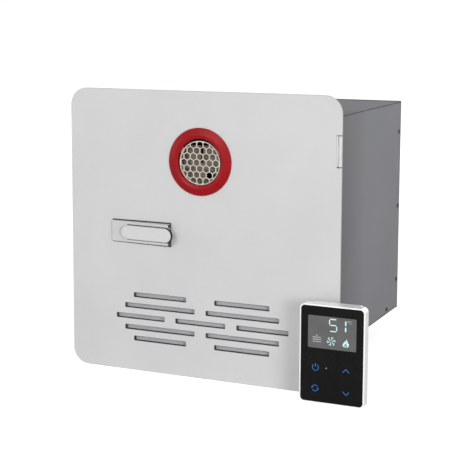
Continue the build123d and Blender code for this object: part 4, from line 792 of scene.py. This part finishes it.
@dataclass
class ThreadedPort:
    """One brass fitting with a hexagon nut and a male thread, in place of its plain node.

    Attributes:
        node: The CAD node that it stands for.
        thread: Its thread.
        nut_wall: From the thread to a flat of the nut.
        nut_h: Height of the nut.
        nut_chamfer: Height of the nut's chamfer.
        nut_round: Reach of the chamfered corners, as a share of the flats' reach.
        flange_t: Thickness of the flange inside the case.
        flange_w: Width of the flange round the thread.
        sheet: Thickness of the case's sheet.
        flank: Steepness of the thread's flanks, where more than 1 leaves a flat crest.
        end_relief: Depth of the groove at the thread's end, as a share of its depth.
        lip: Chamfer at the mouth of the bore.
        sides: Points round the axis.
        rows_in_pitch: Rings for each turn of the thread.
        smooth_angle: Edges sharper than this many degrees stay sharp.
        axis: The x and z of the fitting's axis, found from its node.
    """

    node: str
    thread: Thread
    nut_wall: float = 3.6 * MM
    nut_h: float = 5.0 * MM
    nut_chamfer: float = 0.8 * MM
    nut_round: float = 1.03
    flange_t: float = 3.0 * MM
    flange_w: float = 3.1 * MM
    sheet: float = 1.0 * MM
    flank: float = 1.25
    end_relief: float = 1.2
    lip: float = 0.6 * MM
    sides: int = 72
    rows_in_pitch: int = 8
    smooth_angle: float = 28.0
    axis: Point = (0.0, 0.0)

    def build(self) -> None:
        """Builds the fitting round its node's own axis."""
        low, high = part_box(self.node)
        self.axis = ((low.x + high.x) / 2, (low.z + high.z) / 2)
        wall = low.y + self.flange_t
        nut_start = wall + self.sheet
        nut_end = nut_start + self.nut_h
        outer_r, bore_r = self.thread.outer_r, self.thread.bore_r
        rings = [
            self._circle(low.y, bore_r),
            self._circle(low.y, outer_r + self.flange_w),
            self._circle(wall, outer_r + self.flange_w),
            self._circle(wall, outer_r),
            self._circle(nut_start, outer_r),
            self._hexagon(nut_start, math.inf),
            self._hexagon(nut_end - self.nut_chamfer, math.inf),
            self._hexagon(nut_end, self.nut_round),
            self._circle(nut_end, outer_r - self.thread.depth),
            *self._helix(nut_end, high.y),
            self._circle(high.y, outer_r - self.thread.depth * self.end_relief),
            self._circle(high.y, bore_r + self.lip),
            self._circle(high.y - self.lip, bore_r),
        ]
        mesh = bmesh.new()
        loft(mesh, rings, closed=True)
        made = mesh_object(self.node + "_threaded", mesh, self.smooth_angle)
        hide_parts(self.node)
        fit_out(made, BRASS, "case")

    def _ring(self, y: float, reach: Callable[[float], float]) -> list[Vector]:
        """Ring of points round the axis.

        Args:
            y: Where the ring lies.
            reach: Gives the radius for a share of a turn.

        Returns:
            The ring.
        """
        ring = []
        for share in (i / self.sides for i in range(self.sides)):
            radius, turn = reach(share), 2 * math.pi * share
            x, z = self.axis[0] + radius * math.cos(turn), self.axis[1] + radius * math.sin(turn)
            ring.append(Vector((x, y, z)))
        return ring

    def _circle(self, y: float, radius: float) -> list[Vector]:
        """Round ring."""
        return self._ring(y, lambda share: radius)

    def _hexagon(self, y: float, most: float) -> list[Vector]:
        """Ring on the nut's six flats.

        Args:
            y: Where the ring lies.
            most: Largest reach of a corner, as a share of the flats' reach.

        Returns:
            The ring.
        """
        flat_r = self.thread.outer_r + self.nut_wall
        sixth = math.pi / 3
        return self._ring(
            y, lambda share: flat_r * min(most, 1 / math.cos(2 * math.pi * share % sixth - sixth / 2))
        )

    def _helix(self, start: float, end: float) -> list[list[Vector]]:
        """Rings of the thread, which fades out at both ends.

        Args:
            start: The y of its start.
            end: The y of its end.

        Returns:
            The rings in order.
        """
        pitch = self.thread.pitch
        count = int((end - start) / pitch * self.rows_in_pitch)
        rings = []
        for y in even(start, end, count)[1:-1]:
            turns = (y - start) / pitch
            fade = min(turns, (end - y) / pitch, 1.0)
            rings.append(self._ring(y, lambda share: self._thread_r(turns - share, fade)))
        return rings

    def _thread_r(self, turns: float, fade: float) -> float:
        """Radius of the thread.

        Args:
            turns: Turns from the start of the helix.
            fade: How much of the thread's depth there is.

        Returns:
            The radius.
        """
        crest = 1.0 - abs(2.0 * (turns % 1.0) - 1.0)
        return self.thread.outer_r - self.thread.depth * (1.0 - min(1.0, crest * self.flank) * fade)


@dataclass(frozen=True)
class CaseSeams:
    """Beads of sealant along the joints of the case.

    Attributes:
        half_w: Half the width of a bead on the sides.
        rise: Height of a bead on the sides.
        rear_half_w: Half the width of the beads along the rear edges.
        rear_rise: Height of the beads on the top and the bottom.
        inset: Gap at both ends of the long beads.
    """

    half_w: float = 0.75 * MM
    rise: float = 0.3 * MM
    rear_half_w: float = 0.7 * MM
    rear_rise: float = 0.9 * MM
    inset: float = 0.4 * MM

    def build(self) -> None:
        """Builds the beads along the long joints and round the rear."""
        low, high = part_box("side_panel_right")
        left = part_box("side_panel_left")[0].x
        faces = ((high.x, Vector((self.rise, 0, 0))), (left, Vector((-self.rise, 0, 0))))
        front, rear = low.y + self.inset, high.y - self.inset
        across = Vector((0, 0, self.half_w))
        mesh = bmesh.new()
        for x, out in faces:
            for z in (high.z - self.half_w, low.z + self.half_w):
                bead(mesh, Vector((x, front, z)), Vector((x, rear, z)), across, out)
        fit_out(mesh_object("case_long_seams", mesh), SEALANT, "case")

        y = high.y - self.rear_half_w
        across = Vector((0, self.rear_half_w, 0))
        mesh = bmesh.new()
        for z, way in ((high.z, 1.0), (low.z, -1.0)):
            out = Vector((0, 0, way * self.rear_rise))
            bead(mesh, Vector((left, y, z)), Vector((high.x, y, z)), across, out)
        for x, out in faces:
            bead(mesh, Vector((x, y, low.z)), Vector((x, y, high.z)), across, out)
        fit_out(mesh_object("case_rear_seams", mesh), SEALANT, "case")


@dataclass(frozen=True)
class SlotShadeLining:
    """Dark lining on the walls of the door's louvre slots, painted shade in the slots.

    Attributes:
        thick: Thickness of the lining on the slot's wall.
        slot_h: Height of a slot.
        end_r: Radius of its corners.
        corner_steps: Facets of a corner.
        depth: How far the lining reaches behind the door's front.
        sunk: How far its front edge lies behind the door's front.
        middle_z: Height of the middle row.
        pitch: Distance between rows.
        rows: Row number, slot length and the slots' middles for each row, in millimetres.
    """

    thick: float = 0.4 * MM
    slot_h: float = 6.8 * MM
    end_r: float = 1.4 * MM
    corner_steps: int = 5
    depth: float = 5.4 * MM
    sunk: float = 0.3 * MM
    middle_z: float = -114.8 * MM
    pitch: float = 14.8 * MM
    rows: tuple[tuple[int, float, tuple[float, ...]], ...] = (
        (2, 77.0, (-58.75, 58.75)),
        (1, 102.4, (-59.2, 59.2)),
        (0, 71.7, (-87.4, 0.0, 87.4)),
        (-1, 102.4, (-59.2, 59.2)),
        (-2, 77.0, (-58.75, 58.75)),
    )

    def build(self) -> None:
        """Builds the dark lining of every slot as one piece of painted shade."""
        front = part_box("door_panel")[0].y + self.sunk
        mesh = bmesh.new()
        for row, length, middles in self.rows:
            for x in middles:
                centre = (x * MM, self.middle_z + row * self.pitch)
                outer = self._outline(centre, length * MM, 0.0)
                inner = self._outline(centre, length * MM, self.thick)
                frame_plate(mesh, outer, inner, front, self.depth - self.sunk)
        # The lining is painted shade: a dark sheet on slot walls that only lie in shade.
        fit_out(mesh_object("slot_painted_shade_lining", mesh), SHADE_GREY, "door")

    def _outline(self, centre: Point, length: float, inset: float) -> list[Point]:
        """Rounded outline of a slot.

        Args:
            centre: Middle of the slot.
            length: Its length.
            inset: How far the outline is set in from the slot's wall.

        Returns:
            The outline.
        """
        half_l, half_h = length / 2 - self.end_r, self.slot_h / 2 - self.end_r
        outline: list[Point] = []
        for way_x, way_z, start in ((1, 1, 0), (-1, 1, 90), (-1, -1, 180), (1, -1, 270)):
            corner = (centre[0] + way_x * half_l, centre[1] + way_z * half_h)
            outline += arc(corner, self.end_r - inset, start, start + 90, self.corner_steps)
        return outline


@dataclass(frozen=True)
class LatchShade:
    """Dark pieces that paint shade round the latch: an outline round the base's foot, strips under the
    paddle's long edges with pads over the base's end, and a band on the paddle's tip.

    Attributes:
        lip: How far the dark outline shows beside the base.
        top_lip: How far it shows above the base.
        foot: How far it shows below the base, at its low and at its high end.
        thick: Thickness of the outline and of the pads.
        rail_w: Width of a dark strip.
        rail_t: Height of a dark strip above the base.
        rail_start: Where the strips start from the base's low end.
        rail_show: How far the upper and the lower strip show beside the paddle.
        pad_gap: Gap between a pad and the paddle.
        base_low: Height of the base at its low end.
        base_high: Height of the base at its high end.
        paddle_start: From the base's low end to the paddle, along the slope.
        paddle_l: Length of the paddle.
        paddle_r: Half its height, which is the radius of its tip.
        paddle_gap: Gap below it.
        paddle_t: Its thickness.
        tip_band_t: Thickness of the dark band on the paddle's tip.
        tip_band_inset: Gap between the band and the paddle's faces.
        tip_band_turn: Half the angle that the band covers, in degrees.
        tip_band_steps: Facets of the band.
    """

    lip: float = 0.5 * MM
    top_lip: float = 1.7 * MM
    foot: Point = (1.3 * MM, 2.9 * MM)
    thick: float = 0.6 * MM
    rail_w: float = 1.6 * MM
    rail_t: float = 0.9 * MM
    rail_start: float = 24.0 * MM
    rail_show: Point = (0.8 * MM, 1.2 * MM)
    pad_gap: float = 0.4 * MM
    base_low: float = 3.0 * MM
    base_high: float = 8.1 * MM
    paddle_start: float = 16.6 * MM
    paddle_l: float = 75.8 * MM
    paddle_r: float = 9.2 * MM
    paddle_gap: float = 1.2 * MM
    paddle_t: float = 4.0 * MM
    tip_band_t: float = 0.7 * MM
    tip_band_inset: float = 0.2 * MM
    tip_band_turn: float = 78.0
    tip_band_steps: int = 24

    def build(self) -> None:
        """Builds the dark outline, the strips with their pads, and the tip band, all painted shade."""
        low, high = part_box("latch_base")
        self._foot_outline(low, high)
        self._shade_strips(low, high)
        self._tip_band(low, high)

    def _foot_outline(self, low: Vector, high: Vector) -> None:
        """Dark flat ring on the door round the foot of the base, painted shade along the base's edges.

        Args:
            low: Low corner of the base.
            high: High corner of the base.
        """
        inner = [(low.x, low.z), (high.x, low.z), (high.x, high.z), (low.x, high.z)]
        outer = [
            (low.x - self.lip, low.z - self.foot[0]),
            (high.x + self.lip, low.z - self.foot[1]),
            (high.x + self.lip, high.z + self.top_lip),
            (low.x - self.lip, high.z + self.top_lip),
        ]
        mesh = bmesh.new()
        frame_plate(mesh, outer, inner, high.y - self.thick, self.thick)
        fit_out(mesh_object("latch_shade_outline", mesh), SHADE_GREY, "door")

    def _shade_strips(self, low: Vector, high: Vector) -> None:
        """Two dark strips under the long edges of the paddle, each with a pad over the base's end, painted
        shade in the gaps round the paddle.

        Args:
            low: Low corner of the base.
            high: High corner of the base.
        """
        slope = (self.base_high - self.base_low) / (high.x - low.x)
        middle = (low.z + high.z) / 2
        mesh = bmesh.new()
        for way, show in zip((1.0, -1.0), self.rail_show):
            edge = middle + way * (self.paddle_r + show)
            inside = edge - way * self.rail_w
            strip = []
            for x in (low.x + self.rail_start, high.x - self.thick):
                face = high.y - self.base_low - (x - low.x) * slope
                strip.append(self._section(x, face, face - self.rail_t, inside, edge))
            loft(mesh, strip)
            near = middle + way * (self.paddle_r + self.pad_gap)
            far = middle + way * (high.z - low.z) / 2
            top = high.y - self.base_high
            loft(mesh, [self._section(x, high.y, top, near, far) for x in (high.x, high.x + self.thick)])
        fit_out(mesh_object("latch_shade_strips", mesh), SHADE_GREY, "door")

    @staticmethod
    def _section(x: float, foot: float, top: float, near: float, far: float) -> list[Vector]:
        """Corners of a strip cut across at an x, between two y and two z."""
        return [Vector((x, y, z)) for y, z in ((foot, near), (foot, far), (top, far), (top, near))]

    def _tip_band(self, low: Vector, high: Vector) -> None:
        """Dark strip round the tip of the paddle, painted shade on its end.

        Args:
            low: Low corner of the base.
            high: High corner of the base.
        """
        slope = math.atan2(self.base_high - self.base_low, high.x - low.x)
        middle = (low.z + high.z) / 2
        centre = self.paddle_start + self.paddle_l - self.paddle_r
        inner, outer = self.paddle_r, self.paddle_r + self.tip_band_t
        under = self.paddle_gap + self.tip_band_inset
        over = self.paddle_gap + self.paddle_t - self.tip_band_inset
        rings = []
        for turn in even(-self.tip_band_turn, self.tip_band_turn, self.tip_band_steps):
            ring = []
            for radius, above in ((inner, under), (outer, under), (outer, over), (inner, over)):
                along = centre + radius * math.cos(math.radians(turn))
                x = low.x + along * math.cos(slope) - above * math.sin(slope)
                y = high.y - self.base_low - along * math.sin(slope) - above * math.cos(slope)
                ring.append(Vector((x, y, middle + radius * math.sin(math.radians(turn)))))
            rings.append(ring)
        mesh = bmesh.new()
        loft(mesh, rings)
        # The tip band takes the black rubber finish as painted shade on the paddle's end.
        fit_out(mesh_object("latch_tip_shade_band", mesh), RUBBER, "latch")


@dataclass
class Signs:
    """Digits and key signs on the control panel, raised a hair from glass and display.

    Places are millimetres to the right of and above the middle of the glass.

    Attributes:
        thick: Height of the print.
        smooth_angle: Edges sharper than this many degrees stay sharp.
        digit_w: Width of a digit.
        digit_h: Height of a digit.
        bar_w: Width of the digits' bars.
        bar_gap: Gap between bars.
        thick_bar: Width of the last digit's bars, as a share of bar_w.
        five_at: Lower left corner of the first digit.
        one_x: Middle of the last digit.
        unit_w: Width of the lines of the unit mark.
        degree_at: Middle of the degree ring.
        degree_r: Its radius.
        letter_at: Middle of the letter.
        letter_r: Its radius.
        water_at: Middle of the top water line.
        water_half: Half the length of a water line.
        water_gap: Distance between water lines.
        water_w: Width of the top water line.
        water_thin: How much thinner each next one is.
        fan_at: Middle of the fan.
        fan_r: Inside and outside radius of its blades.
        fan_w: Width of its blades.
        blades: How many blades it has.
        flame_at: Middle of the flame.
        key_w: Width of the key signs' lines.
        power_at: Middle of the power sign.
        power_r: Its radius.
        up_at: Middle of the foot of the up arrow.
        down_at: Middle of the foot of the down arrow.
        arrow: Half the width and the height of an arrow.
        cycle_at: Middle of the cycle sign.
        cycle_r: Its radius.
        cycle_turn: Start of its first arc and length of both, in degrees.
        cycle_head: Half the width and the length of its arrow heads.
        lamp_at: Middle of the lamp.
        lamp_r: Its radius.
        middle: Middle of the glass, found from its node.
    """

    thick: float = 0.15 * MM
    smooth_angle: float = 30.0
    digit_w: float = 9.2 * MM
    digit_h: float = 15.0 * MM
    bar_w: float = 1.35 * MM
    bar_gap: float = 0.55 * MM
    thick_bar: float = 1.35
    five_at: Point = (-3.3, 30.4)
    one_x: float = 17.3
    unit_w: float = 0.55 * MM
    degree_at: Point = (20.9, 44.4)
    degree_r: float = 0.75 * MM
    letter_at: Point = (24.0, 43.3)
    letter_r: float = 1.5 * MM
    water_at: Point = (-19.5, 21.2)
    water_half: float = 5.5
    water_gap: float = 2.7
    water_w: float = 1.15 * MM
    water_thin: float = 0.1 * MM
    fan_at: Point = (-1.0, 17.8)
    fan_r: Point = (1.6 * MM, 5.0 * MM)
    fan_w: float = 0.85 * MM
    blades: int = 6
    flame_at: Point = (17.7, 17.2)
    key_w: float = 0.7 * MM
    power_at: Point = (-20.8, -16.8)
    power_r: float = 3.9 * MM
    up_at: Point = (18.5, -19.2)
    down_at: Point = (18.8, -43.3)
    arrow: Point = (4.1, 4.2)
    cycle_at: Point = (-21.0, -43.0)
    cycle_r: float = 3.7 * MM
    cycle_turn: Point = (28.0, 132.0)
    cycle_head: Point = (1.4 * MM, 2.0 * MM)
    lamp_at: Point = (-6.8, -16.6)
    lamp_r: float = 0.75 * MM
    middle: Vector = field(default_factory=Vector)

    def build(self) -> None:
        """Builds every sign on its own face."""
        low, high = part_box("controller_glass")
        self.middle = (low + high) / 2
        glass = low.y
        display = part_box("controller_display")[0].y
        signs: tuple[tuple[str, Finish, Callable[[Mesh, float], None], float], ...] = (
            ("display_digits", SEGMENT_PALE, self._digits, display),
            ("display_unit_mark", SIGN_DIM, self._unit_mark, display),
            ("display_bath_sign", SIGN_DIM, self._bath, display),
            ("display_fan_sign", SEGMENT_PALE, self._fan, display),
            ("display_flame_sign", SEGMENT_PALE, self._flame, display),
            ("key_power_sign", KEY_BLUE, self._power, glass),
            ("key_up_sign", KEY_BLUE, self._up, glass),
            ("key_down_sign", KEY_BLUE, self._down, glass),
            ("key_cycle_sign", KEY_BLUE, self._cycle, glass),
            ("key_lamp", SIGN_DIM, self._lamp, glass),
        )
        for name, finish, draw, face in signs:
            mesh = bmesh.new()
            draw(mesh, face - self.thick)
            fit_out(mesh_object(name, mesh, self.smooth_angle), finish, "controller")

    def _at(self, place: Point, right: float = 0.0, up: float = 0.0) -> Point:
        """Point in metres at a place on the panel, or so many millimetres right of and above it."""
        return (self.middle.x + (place[0] + right) * MM, self.middle.z + (place[1] + up) * MM)

    def _bar(self, mesh: Mesh, start: Point, end: Point, front: float, width: float) -> None:
        """Adds one straight bar with pointed ends.

        Args:
            mesh: The sign's bmesh.
            start: One end.
            end: The other end.
            front: The y of its front face.
            width: Its width.
        """
        a, b = Vector(start), Vector(end)
        along = (b - a).normalized() * width / 2
        side = Vector((-along.y, along.x))
        corners = [a, a + along + side, b - along + side, b, b - along - side, a + along - side]
        plate(mesh, [(c.x, c.y) for c in corners], front, self.thick)

    def _digits(self, mesh: Mesh, front: float) -> None:
        """The digits five and one in seven-bar figures.

        Args:
            mesh: The sign's bmesh.
            front: The y of its front face.
        """
        gap, wide = self.bar_gap, self.bar_w * self.thick_bar
        left, bottom = self._at(self.five_at)
        right = left + self.digit_w
        waist, top = bottom + self.digit_h / 2, bottom + self.digit_h
        for z in (bottom, waist, top):
            self._bar(mesh, (left + gap, z), (right - gap, z), front, self.bar_w)
        self._bar(mesh, (left, waist + gap), (left, top - gap), front, self.bar_w)
        self._bar(mesh, (right, bottom + gap), (right, waist - gap), front, self.bar_w)
        one = self._at((self.one_x, 0.0))[0]
        self._bar(mesh, (one, bottom + gap), (one, waist - gap), front, wide)
        self._bar(mesh, (one, waist + gap), (one, top - gap), front, wide)

    def _unit_mark(self, mesh: Mesh, front: float) -> None:
        """Degree ring and the letter C."""
        stroke(mesh, arc(self._at(self.degree_at), self.degree_r, 0, 350), self.unit_w, front, self.thick)
        stroke(mesh, arc(self._at(self.letter_at), self.letter_r, 50, 310), self.unit_w, front, self.thick)

    def _bath(self, mesh: Mesh, front: float) -> None:
        """Three water lines under a drop.

        Args:
            mesh: The sign's bmesh.
            front: The y of its front face.
        """
        for i in range(3):
            ends = [self._at(self.water_at, way * self.water_half, -self.water_gap * i) for way in (-1, 1)]
            stroke(mesh, ends, self.water_w - self.water_thin * i, front, self.thick)
        drop = ((0.0, 4.1), (-1.1, 2.1), (0.0, 1.3), (1.1, 2.1))
        plate(mesh, [self._at(self.water_at, x, z) for x, z in drop], front, self.thick)

    def _fan(self, mesh: Mesh, front: float) -> None:
        """Curved fan blades.

        Args:
            mesh: The sign's bmesh.
            front: The y of its front face.
        """
        centre = self._at(self.fan_at)
        inside, outside = self.fan_r
        for i in range(self.blades):
            turn = 20.0 + 360.0 * i / self.blades
            root = arc(centre, inside, turn - 26.0, turn, 1)[0]
            bend = arc(centre, (inside + outside) / 2, turn + 2.0, turn, 1)[0]
            rim = arc(centre, outside, turn, turn - 27.0, 5)
            stroke(mesh, [root, bend, *rim], self.fan_w, front, self.thick)

    def _flame(self, mesh: Mesh, front: float) -> None:
        """A flame with an open core, as left and right halves and a middle tongue.

        Args:
            mesh: The sign's bmesh.
            front: The y of its front face.
        """
        left = ((0.9, 5.6), (0.2, 3.4), (-1.9, 1.6), (-3.9, -1.2), (-3.8, -3.3), (-2.3, -4.9), (-1.5, -5.0),
                (-1.8, -3.2), (-1.2, -1.6), (0.0, -0.4), (1.0, 1.8))
        right = ((1.2, 4.6), (1.3, 1.6), (0.3, -0.5), (1.3, -1.7), (1.8, -3.2), (1.5, -5.0), (2.3, -4.9),
                 (3.8, -3.4), (4.1, -1.2), (3.4, 0.6), (2.9, 0.1), (2.4, 2.2))
        core = ((0.0, -2.3), (-0.8, -3.7), (-0.3, -4.9), (0.4, -4.9), (0.9, -3.7))
        for shape in (left, right, core):
            plate(mesh, [self._at(self.flame_at, x, z) for x, z in shape], front, self.thick)

    def _power(self, mesh: Mesh, front: float) -> None:
        """Broken ring with an upright bar.

        Args:
            mesh: The sign's bmesh.
            front: The y of its front face.
        """
        x, z = self._at(self.power_at)
        stroke(mesh, arc((x, z), self.power_r, 122, 418, 40), self.key_w, front, self.thick)
        stroke(mesh, [(x, z + 0.6 * MM), (x, z + 5.2 * MM)], self.key_w, front, self.thick)

    def _up(self, mesh: Mesh, front: float) -> None:
        """Arrow head that points up."""
        self._arrow(mesh, front, self.up_at, self.arrow[1])

    def _down(self, mesh: Mesh, front: float) -> None:
        """Arrow head that points down."""
        self._arrow(mesh, front, self.down_at, -self.arrow[1])

    def _arrow(self, mesh: Mesh, front: float, foot: Point, rise: float) -> None:
        """Adds one open arrow head.

        Args:
            mesh: The sign's bmesh.
            front: The y of its front face.
            foot: Middle of its foot.
            rise: Height of its tip above the foot.
        """
        half = self.arrow[0]
        path = [self._at(foot, -half), self._at(foot, 0.0, rise), self._at(foot, half)]
        stroke(mesh, path, self.key_w, front, self.thick)

    def _cycle(self, mesh: Mesh, front: float) -> None:
        """Two arcs with arrow heads that chase each other.

        Args:
            mesh: The sign's bmesh.
            front: The y of its front face.
        """
        first, length = self.cycle_turn
        for start in (first, first + 180.0):
            path = arc(self._at(self.cycle_at), self.cycle_r, start, start + length, 20)
            stroke(mesh, path, self.key_w, front, self.thick)
            tip = Vector(path[-1])
            turn = math.radians(start + length)
            out = Vector((math.cos(turn), math.sin(turn))) * self.cycle_head[0]
            ahead = Vector((-math.sin(turn), math.cos(turn))) * self.cycle_head[1]
            head = (tip + out, tip + ahead, tip - out)
            plate(mesh, [(h.x, h.y) for h in head], front, self.thick)

    def _lamp(self, mesh: Mesh, front: float) -> None:
        """Small round signal lamp."""
        plate(mesh, arc(self._at(self.lamp_at), self.lamp_r, 0, 345, 23), front, self.thick)


# ------------------------------------------------------------------ studio
@dataclass(frozen=True)
class SoftBox:
    """A lamp with a rectangular face.

    Attributes:
        name: Name of the lamp.
        place: Where it stands.
        size: Its width and height.
        power: Its power in watts.
    """

    name: str
    place: tuple[float, float, float]
    size: Point
    power: float

    def build(self, target: Vector) -> None:
        """Builds the lamp.

        Args:
            target: Where it looks.
        """
        lamp = bpy.data.lights.new(self.name, "AREA")
        lamp.shape = "RECTANGLE"
        lamp.size, lamp.size_y = self.size
        lamp.energy = self.power
        box = bpy.data.objects.new(self.name, lamp)
        box.location = self.place
        box.rotation_euler = (target - Vector(self.place)).to_track_quat("-Z", "Y").to_euler()
        bpy.context.scene.collection.objects.link(box)


@dataclass(frozen=True)
class Studio:
    """Floor, lamps, backdrop and camera.

    Attributes:
        floor_z: Height of the floor.
        azimuth: Turn of the camera to the right, in degrees.
        pitch: Its look down, in degrees.
        stand: Where it stands.
        lens: Focal length for the sensor, in millimetres.
        sensor: Width of the sensor, in millimetres.
        shift: Framing shift to the right and up.
        lamps: The lamps.
        target: Where the lamps look.
        ambient: Light of the backdrop on the object.
        floor_grey: Reflectance of the floor.
        floor_glow: Light of the floor that only the camera sees.
        floor_half: Half the width of the floor.
    """

    floor_z: float
    azimuth: float = 25.336
    pitch: float = 7.526
    stand: tuple[float, float, float] = (0.7081, -1.5318, 0.3031)
    lens: float = 103.22
    sensor: float = 36.0
    shift: Point = (0.085, -0.12)
    lamps: tuple[SoftBox, ...] = (
        SoftBox("key", (-0.5, -3.0, 1.1), (1.4, 1.2), 31.0),
        SoftBox("side", (2.6, -2.3, 0.4), (1.2, 1.2), 46.0),
        SoftBox("fill", (-2.8, -0.8, 0.5), (1.4, 1.2), 6.0),
        SoftBox("rear", (0.6, 2.8, 0.7), (1.6, 1.4), 12.0),
    )
    target: tuple[float, float, float] = (0.0, 0.1, 0.0)
    ambient: float = 0.36
    floor_grey: float = 0.86
    floor_glow: float = 0.75
    floor_half: float = 20.0

    def build(self) -> None:
        """Builds the studio."""
        self._camera()
        self._floor()
        self._world()
        for lamp in self.lamps:
            lamp.build(Vector(self.target))

    def _camera(self) -> None:
        """Camera in front of the heater, to its right and a little above it."""
        lens = bpy.data.cameras.new("view")
        lens.sensor_width = self.sensor
        lens.lens = self.lens
        lens.shift_x, lens.shift_y = self.shift
        lens.clip_end = 3 * self.floor_half
        turn, down = math.radians(self.azimuth), math.radians(self.pitch)
        ahead = Vector((-math.sin(turn) * math.cos(down), math.cos(turn) * math.cos(down), -math.sin(down)))
        camera = bpy.data.objects.new("view", lens)
        camera.location = self.stand
        camera.rotation_euler = ahead.to_track_quat("-Z", "Y").to_euler()
        bpy.context.scene.collection.objects.link(camera)
        bpy.context.scene.camera = camera

    def _floor(self) -> None:
        """Plain pale floor that keeps the shadow."""
        half = self.floor_half
        corners = ((-half, -half), (half, -half), (half, half), (-half, half))
        mesh = bmesh.new()
        mesh.faces.new([mesh.verts.new((x, y, self.floor_z)) for x, y in corners])
        floor = mesh_object("floor", mesh)
        material = bpy.data.materials.new("floor_white")
        material.use_nodes = True
        graph = Graph(material.node_tree)
        grey = self.floor_grey
        graph.shader.inputs["Base Color"].default_value = (grey, grey, grey, 1.0)
        graph.shader.inputs["Roughness"].default_value = 0.9
        graph.shader.inputs["Specular IOR Level"].default_value = 0.0
        graph.shader.inputs["Emission Color"].default_value = WHITE
        seen = graph.add("ShaderNodeLightPath").outputs["Is Camera Ray"]
        glow = graph.span(seen, 0.0, 1.0, 0.0, self.floor_glow)
        graph.join(glow, graph.shader.inputs["Emission Strength"])
        floor.data.materials.append(material)
        floor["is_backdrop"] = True

    def _world(self) -> None:
        """White backdrop for the camera and for gloss, and softer light for the rest."""
        world = bpy.data.worlds.new("studio")
        bpy.context.scene.world = world
        world.use_nodes = True
        tree = world.node_tree
        back = next(n for n in tree.nodes if n.type == "BACKGROUND")
        back.inputs["Color"].default_value = WHITE
        path = tree.nodes.new("ShaderNodeLightPath")
        seen = path.outputs["Is Camera Ray"]
        for name in ("Is Glossy Ray", "Is Transmission Ray"):
            most = tree.nodes.new("ShaderNodeMath")
            most.operation = "MAXIMUM"
            tree.links.new(seen, most.inputs[0])
            tree.links.new(path.outputs[name], most.inputs[1])
            seen = most.outputs[0]
        strength = tree.nodes.new("ShaderNodeMapRange")
        strength.inputs["To Min"].default_value = self.ambient
        strength.inputs["To Max"].default_value = 1.0
        tree.links.new(seen, strength.inputs["Value"])
        tree.links.new(strength.outputs["Result"], back.inputs["Strength"])


def corners_of(bounds: Iterable[Iterable[float]]) -> list[list[float]]:
    """Plain lists of a box's two corners."""
    return [[float(v) for v in corner] for corner in bounds]


def main() -> None:
    """Builds the heater's looks in order."""
    logging.basicConfig(level=logging.INFO, format="%(name)s: %(message)s")
    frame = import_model()
    cad_box = corners_of(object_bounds())
    bpy.context.scene.view_settings.view_transform = "Standard"
    Shell().build(frame["nodes"])
    ThreadedPort("water_inlet_fitting", WATER_THREAD).build()
    ThreadedPort("water_outlet_fitting", WATER_THREAD).build()
    ThreadedPort("gas_inlet_fitting", GAS_THREAD).build()
    CaseSeams().build()
    SlotShadeLining().build()
    LatchShade().build()
    Signs().build()
    Studio(floor_z=cad_box[0][2]).build()


if __name__ == "__main__":
    main()
